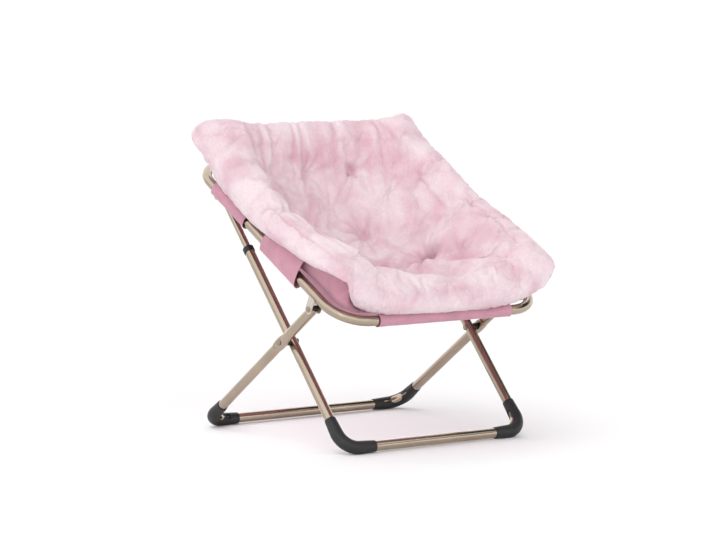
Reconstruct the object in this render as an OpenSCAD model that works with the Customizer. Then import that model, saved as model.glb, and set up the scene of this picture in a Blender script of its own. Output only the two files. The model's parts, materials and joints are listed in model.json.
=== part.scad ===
// Folding saucer chair: crossed tube legs, telescopic rear uprights and a padded dish seat on a tube rim.
// The chair faces -Y and stands on the floor plane. Sizes are in millimetres.

/* [Tubes] */
// Outer diameter of the leg and rim tube
tube_d = 25; // [23:0.5:28]
// Wall of the leg and rim tube
tube_wall = 1.2; // [1:0.1:1.6]
// Outer diameter of the sliding upper tube
upper_d = 17.5; // [16:0.5:19.5]
// Wall of the sliding upper tube
upper_wall = 1.2; // [1:0.1:2]

/* [Legs] */
// Half the distance between the outer legs, centre to centre, which the seat rim shares
outer_half_w = 301; // [280:1:330]
// Side gap between an outer leg and the inner leg beside it
leg_gap = 6; // [5:0.5:8]
// Height of the crossing pivot above the floor bars
pivot_rise = 237.7; // [225:1:250]
// Reach of the front floor bar ahead of the crossing pivot
front_reach = 225; // [210:1:240]
// Reach of the rear floor bar behind the crossing pivot
rear_reach = 349.5; // [335:1:365]
// Bend radius of the floor corners, to the middle of the tube
floor_bend_r = 60; // [50:1:70]
// Rear leg from the crossing pivot to the front rim hinge
rear_leg_top = 169; // [160:1:180]
// Front leg from the crossing pivot to its open top
front_leg_top = 294; // [285:1:320]

/* [Seat rim] */
// Length of the rim, from front bar to rear bar
rim_len = 745; // [742:1:780]
// Bend radius of the rim corners, to the middle of the tube
rim_bend_r = 88; // [80:1:92]
// Front rim hinge behind the front bar
rim_overhang = 117; // [114:1:120]
// Rear rim hinge ahead of the rear bar
rear_setback = 104; // [100:1:118]
// Front hinge below the rim tube
front_drop = 34; // [32:0.5:38]
// Rear hinge below the rim tube
rear_drop = 26.3; // [25:0.5:30]

/* [Fittings] */
// Diameter of the rivets at the pivots
rivet_d = 8; // [6:0.5:9]
// Diameter of a rivet head
rivet_head_d = 15; // [12:0.5:17]
// Height of a rivet head
rivet_head_h = 3; // [2:0.25:3.5]
// Sheet thickness of the rim brackets
bracket_t = 2.5; // [2:0.25:3]
// Width of the rim brackets
bracket_w = 24; // [20:1:26]
// Thickness of the plastic under the floor corners
boot_sole_t = 3; // [2:0.5:5]
// Length of a boot along each tube, from the corner where the tubes would meet
boot_len = 88; // [80:1:100]
// Length of the collar on the outside of the front leg
collar_len = 15; // [10:1:20]
// Wall of the collar on the outside of the front leg
collar_wall = 1.6; // [1.2:0.1:2]
// Length of the guide bush at the foot of the upper tube
guide_len = 22; // [16:1:26]

/* [Seat] */
// Reach of the cushion past the middle of the side tubes
side_over = 39; // [29:1:54]
// Reach of the cushion past the front bar
front_over = 26; // [20:1:34]
// Reach of the cushion's rear corners past the rear bar
rear_over = 42; // [34:1:50]
// Half thickness of the border roll, side to side
roll_half_w = 45; // [38:1:50]
// Height of the border roll above the rim, along the sides
roll_h = 106; // [95:1:120]
// Depth of the seat surface below the rim
dish_depth = 88; // [78:1:96]
// Depth of the woven tray below the rim
tray_depth = 122; // [112:1:135]
// Inset of the tray's hanging walls from the middle of the side tubes
tray_inset = 52; // [51:1:66]
// Thickness of the woven tray
tray_t = 3; // [2:0.5:4]
// Thickness of the sleeves round the rim
sleeve_t = 2; // [1.5:0.25:2.5]
// Gap between a bar sleeve and the bends beside it
bar_sleeve_gap = 15; // [10:1:90]
// Depth of a sewn tuft
tuft_depth = 20; // [12:1:30]
// Depth of the creases between seat, back and wings
crease_depth = 16; // [6:1:22]
// Lift of the plush's lower edge off the rim, at the front corners
foot_lift = 64; // [40:1:70]

/* [Hidden] */
$fn = 64;
LEFT = -1;
RIGHT = 1;

// Overrun of cuts, running clearance at a rivet, clearance of a fitted piece, clearance of a sliding piece
cut = 2;
pivot_clear = 0.08;
fit_clear = 0.05;
slide_clear = 0.15;
soft_clear = 0.3;

// Tube radii
tube_r = tube_d / 2;
bore_r = tube_r - tube_wall;
upper_r = upper_d / 2;
rivet_r = rivet_d / 2;
inner_half_w = outer_half_w - tube_d - leg_gap;

// The linkage, seen from the side as [y, z] from the crossing pivot
front_len = norm([front_reach, pivot_rise]);
rear_len = norm([rear_reach, pivot_rise]);
front_dir = [front_reach, pivot_rise] / front_len;
rear_dir = [-rear_reach, pivot_rise] / rear_len;
front_angle = atan2(front_dir[1], front_dir[0]);
rear_angle = atan2(rear_dir[1], rear_dir[0]);
cross_angle = rear_angle - front_angle;
hinge_spacing = norm([rim_len - rim_overhang - rear_setback, front_drop - rear_drop]);
upper_reach = rear_leg_top * cos(cross_angle)
    + sqrt(pow(hinge_spacing, 2) - pow(rear_leg_top * sin(cross_angle), 2));
front_hinge = rear_dir * rear_leg_top;
rear_hinge = front_dir * upper_reach;
hinge_run = rear_hinge - front_hinge;
rim_tilt = atan2(hinge_run[1], hinge_run[0]) - asin((front_drop - rear_drop) / hinge_spacing);
rim_along = [cos(rim_tilt), sin(rim_tilt)];
rim_up = [-sin(rim_tilt), cos(rim_tilt)];
rim_start = front_hinge + rim_up * front_drop - rim_along * rim_overhang;
rear_hinge_at = rim_len - rear_setback;
pivot_height = pivot_rise + tube_r + boot_sole_t;

// How far the upper tube slides out when the chair is folded flat
slide_travel = rear_leg_top + hinge_spacing - upper_reach;
echo(slide_travel = slide_travel, cross_angle = cross_angle, rim_tilt = rim_tilt);

// The front and rear halves of the rim meet under the front side sleeve
rim_joint_share = 0.378;
rim_joint = rim_len * rim_joint_share;
joiner_len = 3.2 * tube_d;

// Pressed seat of a rear leg at the crossing pivot
press_half_len = 28;
press_half_t = 9;
press_bulge = 2;
press_depth = tube_r - press_half_t;
press_die_r = (pow(press_half_len, 2) + pow(press_depth, 2)) / (2 * press_depth);

// Front hinge: the bracket's ears stand clear of the leg by ear_gap
ear_gap = 0.6;
leg_tip = 9;
plug_lip = 2.5;
plug_insert = 14;

// Foot of the upper tube, resting near the pivot rivet
stop_gap = 0.3;
guide_floor = 2;
upper_foot = rivet_r + stop_gap;
upper_tip = 9;
collar_insert = 24;
collar_lip = 3;

// Boots
boot_wall = 1;
boot_end_wall = 1.8;
boot_bend_share = 0.77;
boot_slot = 15;

// Sleeves along the sides of the rim, as shares of the run between its hinges
front_sleeve_shares = [0.155, 0.483];
rear_sleeve_share = 0.315;
hinge_run_len = rear_hinge_at - rim_overhang;
front_sleeve_start = rim_overhang + hinge_run_len * front_sleeve_shares[0];
front_sleeve_len = hinge_run_len * (front_sleeve_shares[1] - front_sleeve_shares[0]);
sleeve_end_gap = 1;
rear_sleeve_len = hinge_run_len * rear_sleeve_share;
rear_sleeve_start = rear_hinge_at - bracket_w / 2 - sleeve_end_gap - rear_sleeve_len;
bar_sleeve_half = outer_half_w - rim_bend_r - bar_sleeve_gap;
sleeve_r = tube_r + soft_clear + sleeve_t;

// Rings of the cushion and the tray
cushion_half_w = outer_half_w + side_over;
tray_half_w = outer_half_w - tray_inset;
AROUND = 40;
DISH_RINGS = 11;
ROLL_RINGS = 9;
outline_power = 4.6;
tray_power = 5.5;
rim_mid = rim_len / 2;
roll_clear = 2;
roll_rest = sleeve_r + roll_clear;
foot_side_power = 1.1;
foot_front_power = 1.3;
// Where the plush's lower edge starts to lift, along the side and along the front, as a share from the middle
foot_side_share = 0.15;
foot_front_share = 0.72;
roll_start_angle = 150;
roll_end_angle = -88;
dish_power = 2.6;
bowl_shift = 66;
side_rise = 38;
rear_corner_rise = 20;
front_lower = 8;
front_corner_push = 0.09;
rear_corner_push = 0.13;
back_bow = 44;
tuft_half_w = 24;
crease_half_w = 20;
swell_share = 0.3;
tray_lip = 16;
tray_edge = outer_half_w - sleeve_r - soft_clear;
tray_edge_rise = 3;
tray_gap = 0.6;
// Sewn tufts of the right half, as shares of the cushion's half width and the rim's half length
tuft_shares = [
    [0.2, 0.66], [0.5, 0.46], [0.22, 0.28], [0.5, 0.12],
    [0.47, -0.135], [0, -0.52], [0.33, -0.6], [0.58, -0.84]
];
// Creases of the right half, in the same shares: seat to back, wing to back and seat, and along the front
crease_shares = [
    [[0, -0.082], [0.29, -0.103], [0.485, -0.146]],
    [[0.55, 0.85], [0.588, 0.59], [0.575, 0.3], [0.488, 0.03], [0.485, -0.146]],
    [[0.485, -0.146], [0.565, -0.39], [0.553, -0.667], [0.576, -0.89]],
    [[0.576, -0.89], [0, -0.87]]
];
// Depth of each of those creases as a share of the deepest
crease_depth_shares = [1, 0.75, 0.6, 0.45];
// Rings of the tray as shares of its half width, from rim to middle
tray_ring_shares = [1, 0.985, 0.94, 0.86, 0.74, 0.58, 0.4, 0.2];

// Squircle in direction a, as shares of its half widths
function squircle(a, power) = [
    sign(cos(a)) * pow(abs(cos(a)), 2 / power),
    sign(sin(a)) * pow(abs(sin(a)), 2 / power)
];
// Height of the border roll's top in direction a: pinched in at the sides, high along the back
function roll_top(a) =
    let (q = squircle(a, outline_power))
    roll_h + (q[1] > 0 ? side_rise * q[1] + rear_corner_rise * pow(sin(2 * a), 6)
        : -q[1] * (side_rise * q[0] * q[0] - front_lower * (1 - q[0] * q[0])));
// Place in the rim's plane of share rho of the outline in direction a, its corners pushed out by share push
function plan(a, rho, power, push) =
    let (q = squircle(a, 2 + (power - 2) * rho * rho))
    let (reach = sin(a) > 0 ? rear_corner_push : front_corner_push)
    let (grown = rho * (1 + push * reach * pow(sin(2 * a), 6) * pow(rho, 3)))
    let (mid = rim_mid - bowl_shift * (1 - rho))
    let (u = q[0] * grown, v = q[1] * grown)
    [cushion_half_w * u, v > 0
        ? mid + (rim_len + rear_over - mid) * v - back_bow * max(0, 1 - pow(u, 4)) * pow(v, 3)
        : mid + (mid + front_over) * v];
// Height of the roll's foot in direction a: down on the rim at the back, lifted towards the front corners
function roll_foot(a) =
    let (q = squircle(a, outline_power))
    let (m = max(abs(q[0]), abs(q[1])))
    let (along = min(1, max(0, foot_side_share - q[1] / m)))
    let (across = min(1, max(0, (abs(q[0]) / m - foot_front_share) / (1 - foot_front_share))))
    roll_rest + foot_lift * (abs(q[0]) >= abs(q[1]) ? pow(along, foot_side_power)
        : q[1] < 0 ? pow(across, foot_front_power) : 0);
// Height of the roll's section in direction a at angle phi
function roll_height(a, phi) = (roll_top(a) + roll_foot(a)) / 2 + (roll_top(a) - roll_foot(a)) / 2 * sin(phi);
// A place p of the cushion from shares of its half sizes
function from_shares(p) = [p[0] * cushion_half_w, rim_mid * (1 + p[1])];
function line_distance(p, a, b) =
    let (d = b - a)
    norm(p - a - d * min(1, max(0, (p - a) * d / (d * d))));
function groove(d, half_w) = exp(-pow(d / half_w, 2) / 2);
function crease_dip(p) = crease_depth * max([
    for (k = [0 : len(crease_shares) - 1], i = [1 : len(crease_shares[k]) - 1])
        let (d = line_distance(p, from_shares(crease_shares[k][i - 1]), from_shares(crease_shares[k][i])))
        let (swell = swell_share * groove(d - 3 * crease_half_w, crease_half_w))
        crease_depth_shares[k] * (groove(d, crease_half_w) - swell)
]);
function tuft_dip(p) = tuft_depth
    * max([for (t = tuft_shares) groove(norm(p - from_shares(t)), tuft_half_w)]);
// Depth at which the sewing draws the seat surface in, at p
function sewn_dip(p) = let (q = [abs(p[0]), p[1]]) max(tuft_dip(q), crease_dip(q));
// One ring of the seat surface, at share t from the middle to the border roll
function dish_ring(t) =
    let (inner_share = 1 - roll_half_w * (1 - cos(roll_start_angle)) / cushion_half_w)
    [for (i = [0 : AROUND - 1])
        let (a = i * 360 / AROUND)
        let (p = plan(a, t * inner_share, outline_power, 1))
        let (rise = dish_depth + roll_height(a, roll_start_angle))
        [p[0], p[1], -dish_depth + rise * pow(t, dish_power) - sewn_dip(p) * (1 - pow(t, 6))]
    ];
// One ring of the border roll, at angle phi round its section
function roll_ring(phi) = [
    for (i = [0 : AROUND - 1])
        let (a = i * 360 / AROUND)
        let (rho = 1 - roll_half_w * (1 - cos(phi)) / cushion_half_w)
        let (p = plan(a, rho, outline_power, 1))
        [p[0], p[1], roll_height(a, phi)]
];
// One ring of a hanging tray of half width w and depth d, at share t of its half width
function tray_ring(t, w, d) = [
    for (i = [0 : AROUND - 1])
        let (a = i * 360 / AROUND)
        let (p = plan(a, t * w / cushion_half_w, tray_power, 0))
        [p[0], p[1], -tray_lip - (d - tray_lip) * sqrt(1 - pow(t, 4.4))]
];
// One ring at a fixed half width w and height h
function edge_ring(w, h) = [
    for (i = [0 : AROUND - 1])
        let (a = i * 360 / AROUND)
        let (p = plan(a, w / cushion_half_w, tray_power, 0))
        [p[0], p[1], h]
];
// Closes a stack of rings with a point at each end
module ringed_solid(first, rings, last) {
    count = len(rings);
    points = concat([first], [for (r = rings) each r], [last]);
    end = count * AROUND + 1;
    faces = concat(
        [for (i = [0 : AROUND - 1]) [0, 1 + (i + 1) % AROUND, 1 + i]],
        [for (k = [0 : count - 2], i = [0 : AROUND - 1], half = [0, 1])
            let (a = 1 + k * AROUND + i, b = 1 + k * AROUND + (i + 1) % AROUND)
            half == 0 ? [a, b, b + AROUND] : [a, b + AROUND, a + AROUND]],
        [for (i = [0 : AROUND - 1])
            [end, 1 + (count - 1) * AROUND + i, 1 + (count - 1) * AROUND + (i + 1) % AROUND]]
    );
    polyhedron(points = points, faces = faces, convexity = 6);
}

cushion_rings = concat(
    [for (k = [1 : DISH_RINGS]) dish_ring(k / DISH_RINGS)],
    [for (k = [1 : ROLL_RINGS])
        roll_ring(roll_start_angle + (roll_end_angle - roll_start_angle) * k / ROLL_RINGS)],
    [edge_ring(tray_edge - sleeve_t, roll_rest - roll_clear)],
    [edge_ring(tray_half_w - tray_gap, -tray_lip / 3)],
    [for (t = tray_ring_shares)
        tray_ring(t, tray_half_w - tray_t - tray_gap, tray_depth - tray_t - tray_gap)]
);
// Origin under the middle of the chair, from its front and rear ends
cushion_front = min([for (r = cushion_rings, p = r) rim_start[0] + p[1] * rim_along[0] + p[2] * rim_up[0]]);
cushion_rear = max([for (r = cushion_rings, p = r) rim_start[0] + p[1] * rim_along[0] + p[2] * rim_up[0]]);
rim_rear = rim_start[0] + rim_len * rim_along[0] + tube_r + soft_clear + sleeve_t;
y_shift = -(cushion_front + max(cushion_rear, rim_rear)) / 2;
echo(y_shift = y_shift, pivot_height = pivot_height);

// Frames of the moving groups: Y runs along the piece and X across the chair
module at_pivot() translate([0, y_shift, pivot_height]) children();
module at_front_leg() at_pivot() rotate([front_angle, 0, 0]) children();
module at_rear_leg() at_pivot() rotate([rear_angle, 0, 0]) children();
module at_rim() at_pivot() translate([0, rim_start[0], rim_start[1]]) rotate([rim_tilt, 0, 0]) children();

// Bar and two arms with round corners, from the bar at y = 0 to the arm ends at y = arm
module u_path(half_w, arm, bend, r, over = 0) {
    translate([-(half_w - bend), 0, 0]) rotate([0, 90, 0]) cylinder(h = 2 * (half_w - bend), r = r);
    for (side = [LEFT, RIGHT]) {
        translate([side * half_w, bend, 0]) rotate([-90, 0, 0]) cylinder(h = arm - bend + over, r = r);
        translate([side * (half_w - bend), bend, 0]) rotate([0, 0, side == RIGHT ? -90 : 180])
            rotate_extrude(angle = 90) translate([bend, 0]) circle(r = r);
    }
}
module u_tube(half_w, arm, bend) difference() {
    u_path(half_w, arm, bend, tube_r);
    u_path(half_w, arm, bend, bore_r, cut);
}
head_top_share = 0.72;
low_head_share = 0.6;
// Rod across the chair, centred at x
module cross_rod(x, length, r) translate([x - length / 2, 0, 0]) rotate([0, 90, 0])
    cylinder(h = length, r = r);
// Domed rivet head that stands on the plane x and points along side
module rivet_head(x, side, height = rivet_head_h) translate([x, 0, 0]) rotate([0, side * 90, 0]) {
    cylinder(h = height / 2, d = rivet_head_d);
    translate([0, 0, height / 2])
        cylinder(h = height / 2, d1 = rivet_head_d, d2 = rivet_head_d * head_top_share);
}

// Barrel that widens a tube of radius r at the pivot
BARREL_STEPS = 8;
module press_barrel(r) rotate([-90, 0, 0]) rotate_extrude() polygon(concat(
    [[0, -press_half_len], [0, press_half_len]],
    [for (i = [0 : BARREL_STEPS])
        let (u = 1 - 2 * i / BARREL_STEPS)
        [r + press_bulge * (1 - u * u), press_half_len * u]]
));
// Round dies that press the tube to its flat seat, kept away from the bore by wall
module press_dies(wall) {
    for (side = [LEFT, RIGHT])
        translate([side * (press_half_t + press_die_r), 0, 0])
            cylinder(h = 3 * tube_d, r = press_die_r + wall, center = true, $fn = 128);
}

module rear_leg_frame() color("#8c7b6b") at_rear_leg() difference() {
    difference() {
        union() {
            translate([0, -rear_len, 0])
                u_path(outer_half_w, rear_len + rear_leg_top + leg_tip, floor_bend_r, tube_r);
            for (side = [LEFT, RIGHT]) translate([side * outer_half_w, 0, 0]) press_barrel(tube_r);
        }
        for (side = [LEFT, RIGHT]) translate([side * outer_half_w, 0, 0]) press_dies(0);
    }
    difference() {
        union() {
            translate([0, -rear_len, 0])
                u_path(outer_half_w, rear_len + rear_leg_top + leg_tip, floor_bend_r, bore_r, cut);
            for (side = [LEFT, RIGHT]) translate([side * outer_half_w, 0, 0]) press_barrel(bore_r);
        }
        for (side = [LEFT, RIGHT]) translate([side * outer_half_w, 0, 0]) press_dies(tube_wall);
    }
    cross_rod(0, 2 * (outer_half_w + tube_d), rivet_r + fit_clear);
    translate([0, rear_leg_top, 0]) cross_rod(0, 2 * (outer_half_w + tube_d), rivet_r + pivot_clear);
}

module front_leg_frame() color("#8c7b6b") at_front_leg() difference() {
    translate([0, -front_len, 0]) u_tube(inner_half_w, front_len + front_leg_top, floor_bend_r);
    cross_rod(0, 2 * (inner_half_w + tube_d), rivet_r + pivot_clear);
}

// Plastic boot on a floor corner of a leg frame, open on the inside of the bend, on the right-hand side
module boot_shell(half_w, bar_len) translate([0, -bar_len, 0]) difference() {
    r = tube_r + boot_sole_t + boot_wall;
    bend = floor_bend_r * boot_bend_share;
    union() {
        translate([half_w - bend, bend, 0]) rotate([0, 0, -90]) rotate_extrude(angle = 90)
            translate([bend, 0]) circle(r = r);
        translate([half_w, bend, 0]) rotate([-90, 0, 0])
            cylinder(h = boot_len - bend, r1 = r, r2 = tube_r + boot_end_wall);
        translate([half_w - bend, 0, 0]) rotate([0, -90, 0])
            cylinder(h = boot_len - bend, r1 = r, r2 = tube_r + boot_end_wall);
    }
    u_path(half_w, boot_len, floor_bend_r, tube_r + fit_clear, cut);
    translate([half_w - floor_bend_r, floor_bend_r, 0]) rotate([0, 0, -90]) rotate_extrude(angle = 90)
        translate([floor_bend_r - tube_r - r, -boot_slot / 2]) square([r, boot_slot]);
}
module boot(side, half_w, bar_len, angle) color("#232323") mirror([side == LEFT ? 1 : 0, 0, 0])
    intersection() {
        at_pivot() rotate([angle, 0, 0]) boot_shell(half_w, bar_len);
        translate([0, -rear_len - front_len, 0])
            cube([2 * half_w, 2 * (rear_len + front_len), pivot_height]);
    }
module rear_boot_left() boot(LEFT, outer_half_w, rear_len, rear_angle);
module rear_boot_right() boot(RIGHT, outer_half_w, rear_len, rear_angle);
module front_boot_left() boot(LEFT, inner_half_w, front_len, front_angle);
module front_boot_right() boot(RIGHT, inner_half_w, front_len, front_angle);

// Rivet through both legs at the crossing
module pivot_rivet(side) {
    inner_face = inner_half_w - tube_r - stop_gap;
    outer_face = outer_half_w + press_half_t + stop_gap;
    color("#3a3532") at_pivot() mirror([side == LEFT ? 1 : 0, 0, 0]) {
        cross_rod((inner_face + outer_face) / 2, outer_face - inner_face + rivet_head_h, rivet_r);
        rivet_head(inner_face, LEFT);
        rivet_head(outer_face, RIGHT);
    }
}
module pivot_rivet_left() pivot_rivet(LEFT);
module pivot_rivet_right() pivot_rivet(RIGHT);

// Black spacer that cups the inner leg and bears on the pressed seat of the outer leg
spacer_r = 9;
module pivot_spacer(side) color("#232323") at_front_leg() mirror([side == LEFT ? 1 : 0, 0, 0]) difference() {
    seat = outer_half_w - press_half_t - pow(spacer_r, 2) / (2 * press_die_r) - slide_clear;
    translate([inner_half_w, 0, 0]) rotate([0, 90, 0]) cylinder(h = seat - inner_half_w, r = spacer_r);
    translate([inner_half_w, -tube_d, 0]) rotate([-90, 0, 0])
        cylinder(h = 2 * tube_d, r = tube_r + fit_clear);
    cross_rod(inner_half_w, 4 * tube_d, rivet_r + pivot_clear);
}
module pivot_spacer_left() pivot_spacer(LEFT);
module pivot_spacer_right() pivot_spacer(RIGHT);

// Black plug in the top of a rear leg, domed round the hinge
module leg_plug(side) color("#1d1d1d") at_rear_leg() mirror([side == LEFT ? 1 : 0, 0, 0])
    translate([outer_half_w, rear_leg_top, 0]) rotate([-90, 0, 0]) {
        difference() {
            translate([0, 0, leg_tip - plug_insert]) cylinder(h = plug_insert, r = bore_r - fit_clear);
            rotate([0, 90, 0]) cylinder(h = 2 * tube_d, r = rivet_r + pivot_clear, center = true);
        }
        intersection() {
            translate([0, 0, leg_tip]) cylinder(h = 2 * plug_lip, r = tube_r);
            sphere(r = leg_tip + 2.4 * plug_lip);
        }
    }
module leg_plug_left() leg_plug(LEFT);
module leg_plug_right() leg_plug(RIGHT);

// Collar that closes the front leg round the upper tube
module slide_collar(side) color("#232323") at_front_leg() mirror([side == LEFT ? 1 : 0, 0, 0])
    translate([inner_half_w, front_leg_top, 0]) rotate([-90, 0, 0]) rotate_extrude() {
        slide_r = upper_r + slide_clear;
        translate([slide_r, -collar_insert]) square([bore_r - fit_clear - slide_r, collar_insert]);
        translate([slide_r, 0]) square([tube_r - slide_r, collar_lip]);
        translate([tube_r + fit_clear, collar_lip - collar_len])
            square([collar_wall, collar_len - collar_wall]);
        translate([slide_r, 0])
            square([tube_r + fit_clear + collar_wall - slide_r, collar_lip - collar_wall]);
    }
module slide_collar_left() slide_collar(LEFT);
module slide_collar_right() slide_collar(RIGHT);

// Sliding upper tube, with an open-mouthed seat at its top for the rear hinge pin
mouth_low = 18;
mouth_high = 66;
module hinge_mouth(reach) rotate([90, 0, 90]) linear_extrude(height = 2 * tube_d, center = true) {
    grip = rivet_r + slide_clear;
    circle(r = grip);
    polygon([
        grip * [cos(mouth_low - 90), sin(mouth_low - 90)],
        grip * [cos(mouth_low - 90), sin(mouth_low - 90)] + reach * [cos(mouth_low), sin(mouth_low)],
        reach * [cos((mouth_low + mouth_high) / 2), sin((mouth_low + mouth_high) / 2)] * 1.5,
        grip * [cos(mouth_high + 90), sin(mouth_high + 90)] + reach * [cos(mouth_high), sin(mouth_high)],
        grip * [cos(mouth_high + 90), sin(mouth_high + 90)]
    ]);
}
module upper_tube(side) color("#9a8b7c") at_front_leg() mirror([side == LEFT ? 1 : 0, 0, 0])
    translate([inner_half_w, 0, 0]) difference() {
        translate([0, upper_foot + guide_floor, 0]) rotate([-90, 0, 0])
            cylinder(h = upper_reach + upper_tip - upper_foot - guide_floor, r = upper_r);
        rotate([-90, 0, 0]) cylinder(h = upper_reach + upper_tip + cut, r = upper_r - upper_wall);
        translate([0, upper_reach, 0]) hinge_mouth(tube_d);
    }
module upper_tube_left() upper_tube(LEFT);
module upper_tube_right() upper_tube(RIGHT);

// Guide bush on the foot of the upper tube, which slides in the front leg
module guide_bush(side) color("#d8d4cc") at_front_leg() mirror([side == LEFT ? 1 : 0, 0, 0])
    translate([inner_half_w, upper_foot, 0]) rotate([-90, 0, 0]) difference() {
        cylinder(h = guide_len, r = bore_r - slide_clear);
        translate([0, 0, guide_floor]) cylinder(h = guide_len, r = upper_r + fit_clear);
    }
module guide_bush_left() guide_bush(LEFT);
module guide_bush_right() guide_bush(RIGHT);

// Rim halves, with the cross rivet holes of the brackets left to the rivets themselves
module rim_front() color("#8c7b6b") at_rim() u_tube(outer_half_w, rim_joint, rim_bend_r);
module rim_rear() color("#8c7b6b") at_rim() translate([0, rim_len, 0]) mirror([0, 1, 0])
    u_tube(outer_half_w, rim_len - rim_joint, rim_bend_r);
module rim_joiner(side) color("#b9b4ab") at_rim()
    translate([side * outer_half_w, rim_joint - joiner_len / 2, 0]) rotate([-90, 0, 0]) difference() {
        cylinder(h = joiner_len, r = bore_r - fit_clear);
        translate([0, 0, -cut]) cylinder(h = joiner_len + 2 * cut, r = bore_r - fit_clear - tube_wall);
    }
module rim_joiner_left() rim_joiner(LEFT);
module rim_joiner_right() rim_joiner(RIGHT);

// Rounded outline of a bracket ear in the rim's side view, hanging from the tube to the hinge at drop
module ear_outline(drop) rotate([90, 0, 90]) linear_extrude(height = 4 * tube_d, center = true) {
    translate([0, -drop]) circle(d = bracket_w);
    translate([-bracket_w / 2, -drop]) square([bracket_w, drop + tube_r]);
}
// Front bracket: a channel under the rim tube with an ear on each side of the rear leg
module front_bracket(side) color("#c9c1b6") at_rim()
    translate([side * outer_half_w, rim_overhang, 0]) difference() {
        saddle_r = tube_r + ear_gap + bracket_t;
        intersection() {
            rotate([90, 0, 0]) linear_extrude(height = 2 * bracket_w, center = true) difference() {
                union() {
                    circle(r = saddle_r);
                    translate([-saddle_r, -2 * front_drop]) square([2 * saddle_r, 2 * front_drop]);
                }
                circle(r = tube_r + slide_clear);
                translate([-saddle_r - cut, 0]) square([2 * (saddle_r + cut), saddle_r + cut]);
                translate([-tube_r - ear_gap, -2 * front_drop - cut])
                    square([2 * (tube_r + ear_gap), 2 * front_drop + cut - saddle_r]);
            }
            ear_outline(front_drop);
        }
        translate([0, 0, -front_drop]) cross_rod(0, 4 * tube_d, rivet_r + fit_clear);
        translate([0, 0, -tube_r - bracket_t - 2 * ear_gap])
            cylinder(h = tube_r, r = rivet_r / 2 + fit_clear);
    }
module front_bracket_left() front_bracket(LEFT);
module front_bracket_right() front_bracket(RIGHT);

module front_hinge_pin(side) {
    face = tube_r + ear_gap + bracket_t + fit_clear;
    color("#3a3532") at_rim() mirror([side == LEFT ? 1 : 0, 0, 0])
        translate([outer_half_w, rim_overhang, -front_drop]) {
            cross_rod(0, 2 * face + rivet_head_h * low_head_share, rivet_r);
            rivet_head(face, RIGHT);
            rivet_head(-face, LEFT, rivet_head_h * low_head_share);
        }
}
module front_hinge_pin_left() front_hinge_pin(LEFT);
module front_hinge_pin_right() front_hinge_pin(RIGHT);

// Angle of the hanger's rivet, below the level of the rim
hanger_rivet_angle = 62;
// Rear hanger: a strap formed round the underside of the rim tube, with one ear on its inner side
module rear_hanger(side) color("#c9c1b6") at_rim() mirror([side == LEFT ? 1 : 0, 0, 0])
    translate([outer_half_w, rear_hinge_at, 0]) difference() {
        strap_r = tube_r + slide_clear + bracket_t;
        intersection() {
            rotate([90, 0, 0]) linear_extrude(height = 2 * bracket_w, center = true) {
                difference() {
                    circle(r = strap_r);
                    circle(r = tube_r + slide_clear);
                    translate([-strap_r - cut, 0]) square([2 * (strap_r + cut), strap_r + cut]);
                    translate([0, -strap_r - cut]) square([strap_r + cut, 2 * (strap_r + cut)]);
                }
                translate([-strap_r, -2 * rear_drop]) square([bracket_t, 2 * rear_drop]);
            }
            ear_outline(rear_drop);
        }
        translate([0, 0, -rear_drop]) cross_rod(0, 4 * tube_d, rivet_r + fit_clear);
        rotate([0, -90 - hanger_rivet_angle, 0]) cylinder(h = strap_r + cut, r = rivet_r / 2 + fit_clear);
    }
module rear_hanger_left() rear_hanger(LEFT);
module rear_hanger_right() rear_hanger(RIGHT);

// Rear hinge pin with its spacing collar, fixed in the hanger; the upper tube's mouth seats on it
module rear_hinge_pin(side) {
    ear = outer_half_w - tube_r - slide_clear;
    tip = inner_half_w - upper_r - 2 * ear_gap;
    color("#3a3532") at_rim() mirror([side == LEFT ? 1 : 0, 0, 0]) translate([0, rear_hinge_at, -rear_drop]) {
        cross_rod((tip + ear - rivet_head_h / 2) / 2, ear - tip + rivet_head_h / 2, rivet_r);
        rivet_head(tip, LEFT);
        translate([inner_half_w + upper_r + ear_gap, 0, 0]) rotate([0, 90, 0])
            cylinder(
                h = ear - bracket_t - fit_clear - inner_half_w - upper_r - ear_gap,
                r = rivet_r + bracket_t
            );
    }
}
module rear_hinge_pin_left() rear_hinge_pin(LEFT);
module rear_hinge_pin_right() rear_hinge_pin(RIGHT);

// Small rivets that hold the brackets to the rim tube
small_head_share = 0.8;
module bracket_rivets() color("#3a3532") at_rim() for (side = [LEFT, RIGHT]) {
    translate([side * outer_half_w, rim_overhang, -tube_r - ear_gap - bracket_t]) {
        cylinder(h = ear_gap + bracket_t - fit_clear, r = rivet_r / 2);
        translate([0, 0, -rivet_r / 3]) cylinder(h = rivet_r / 3, r = rivet_r * small_head_share);
    }
    translate([side * outer_half_w, rear_hinge_at, 0]) rotate([0, -side * (90 + hanger_rivet_angle), 0])
        translate([0, 0, tube_r + fit_clear]) {
            cylinder(h = slide_clear + bracket_t - fit_clear, r = rivet_r / 2);
            translate([0, 0, slide_clear + bracket_t - fit_clear])
                cylinder(h = rivet_r / 3, r = rivet_r * small_head_share);
        }
}

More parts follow.
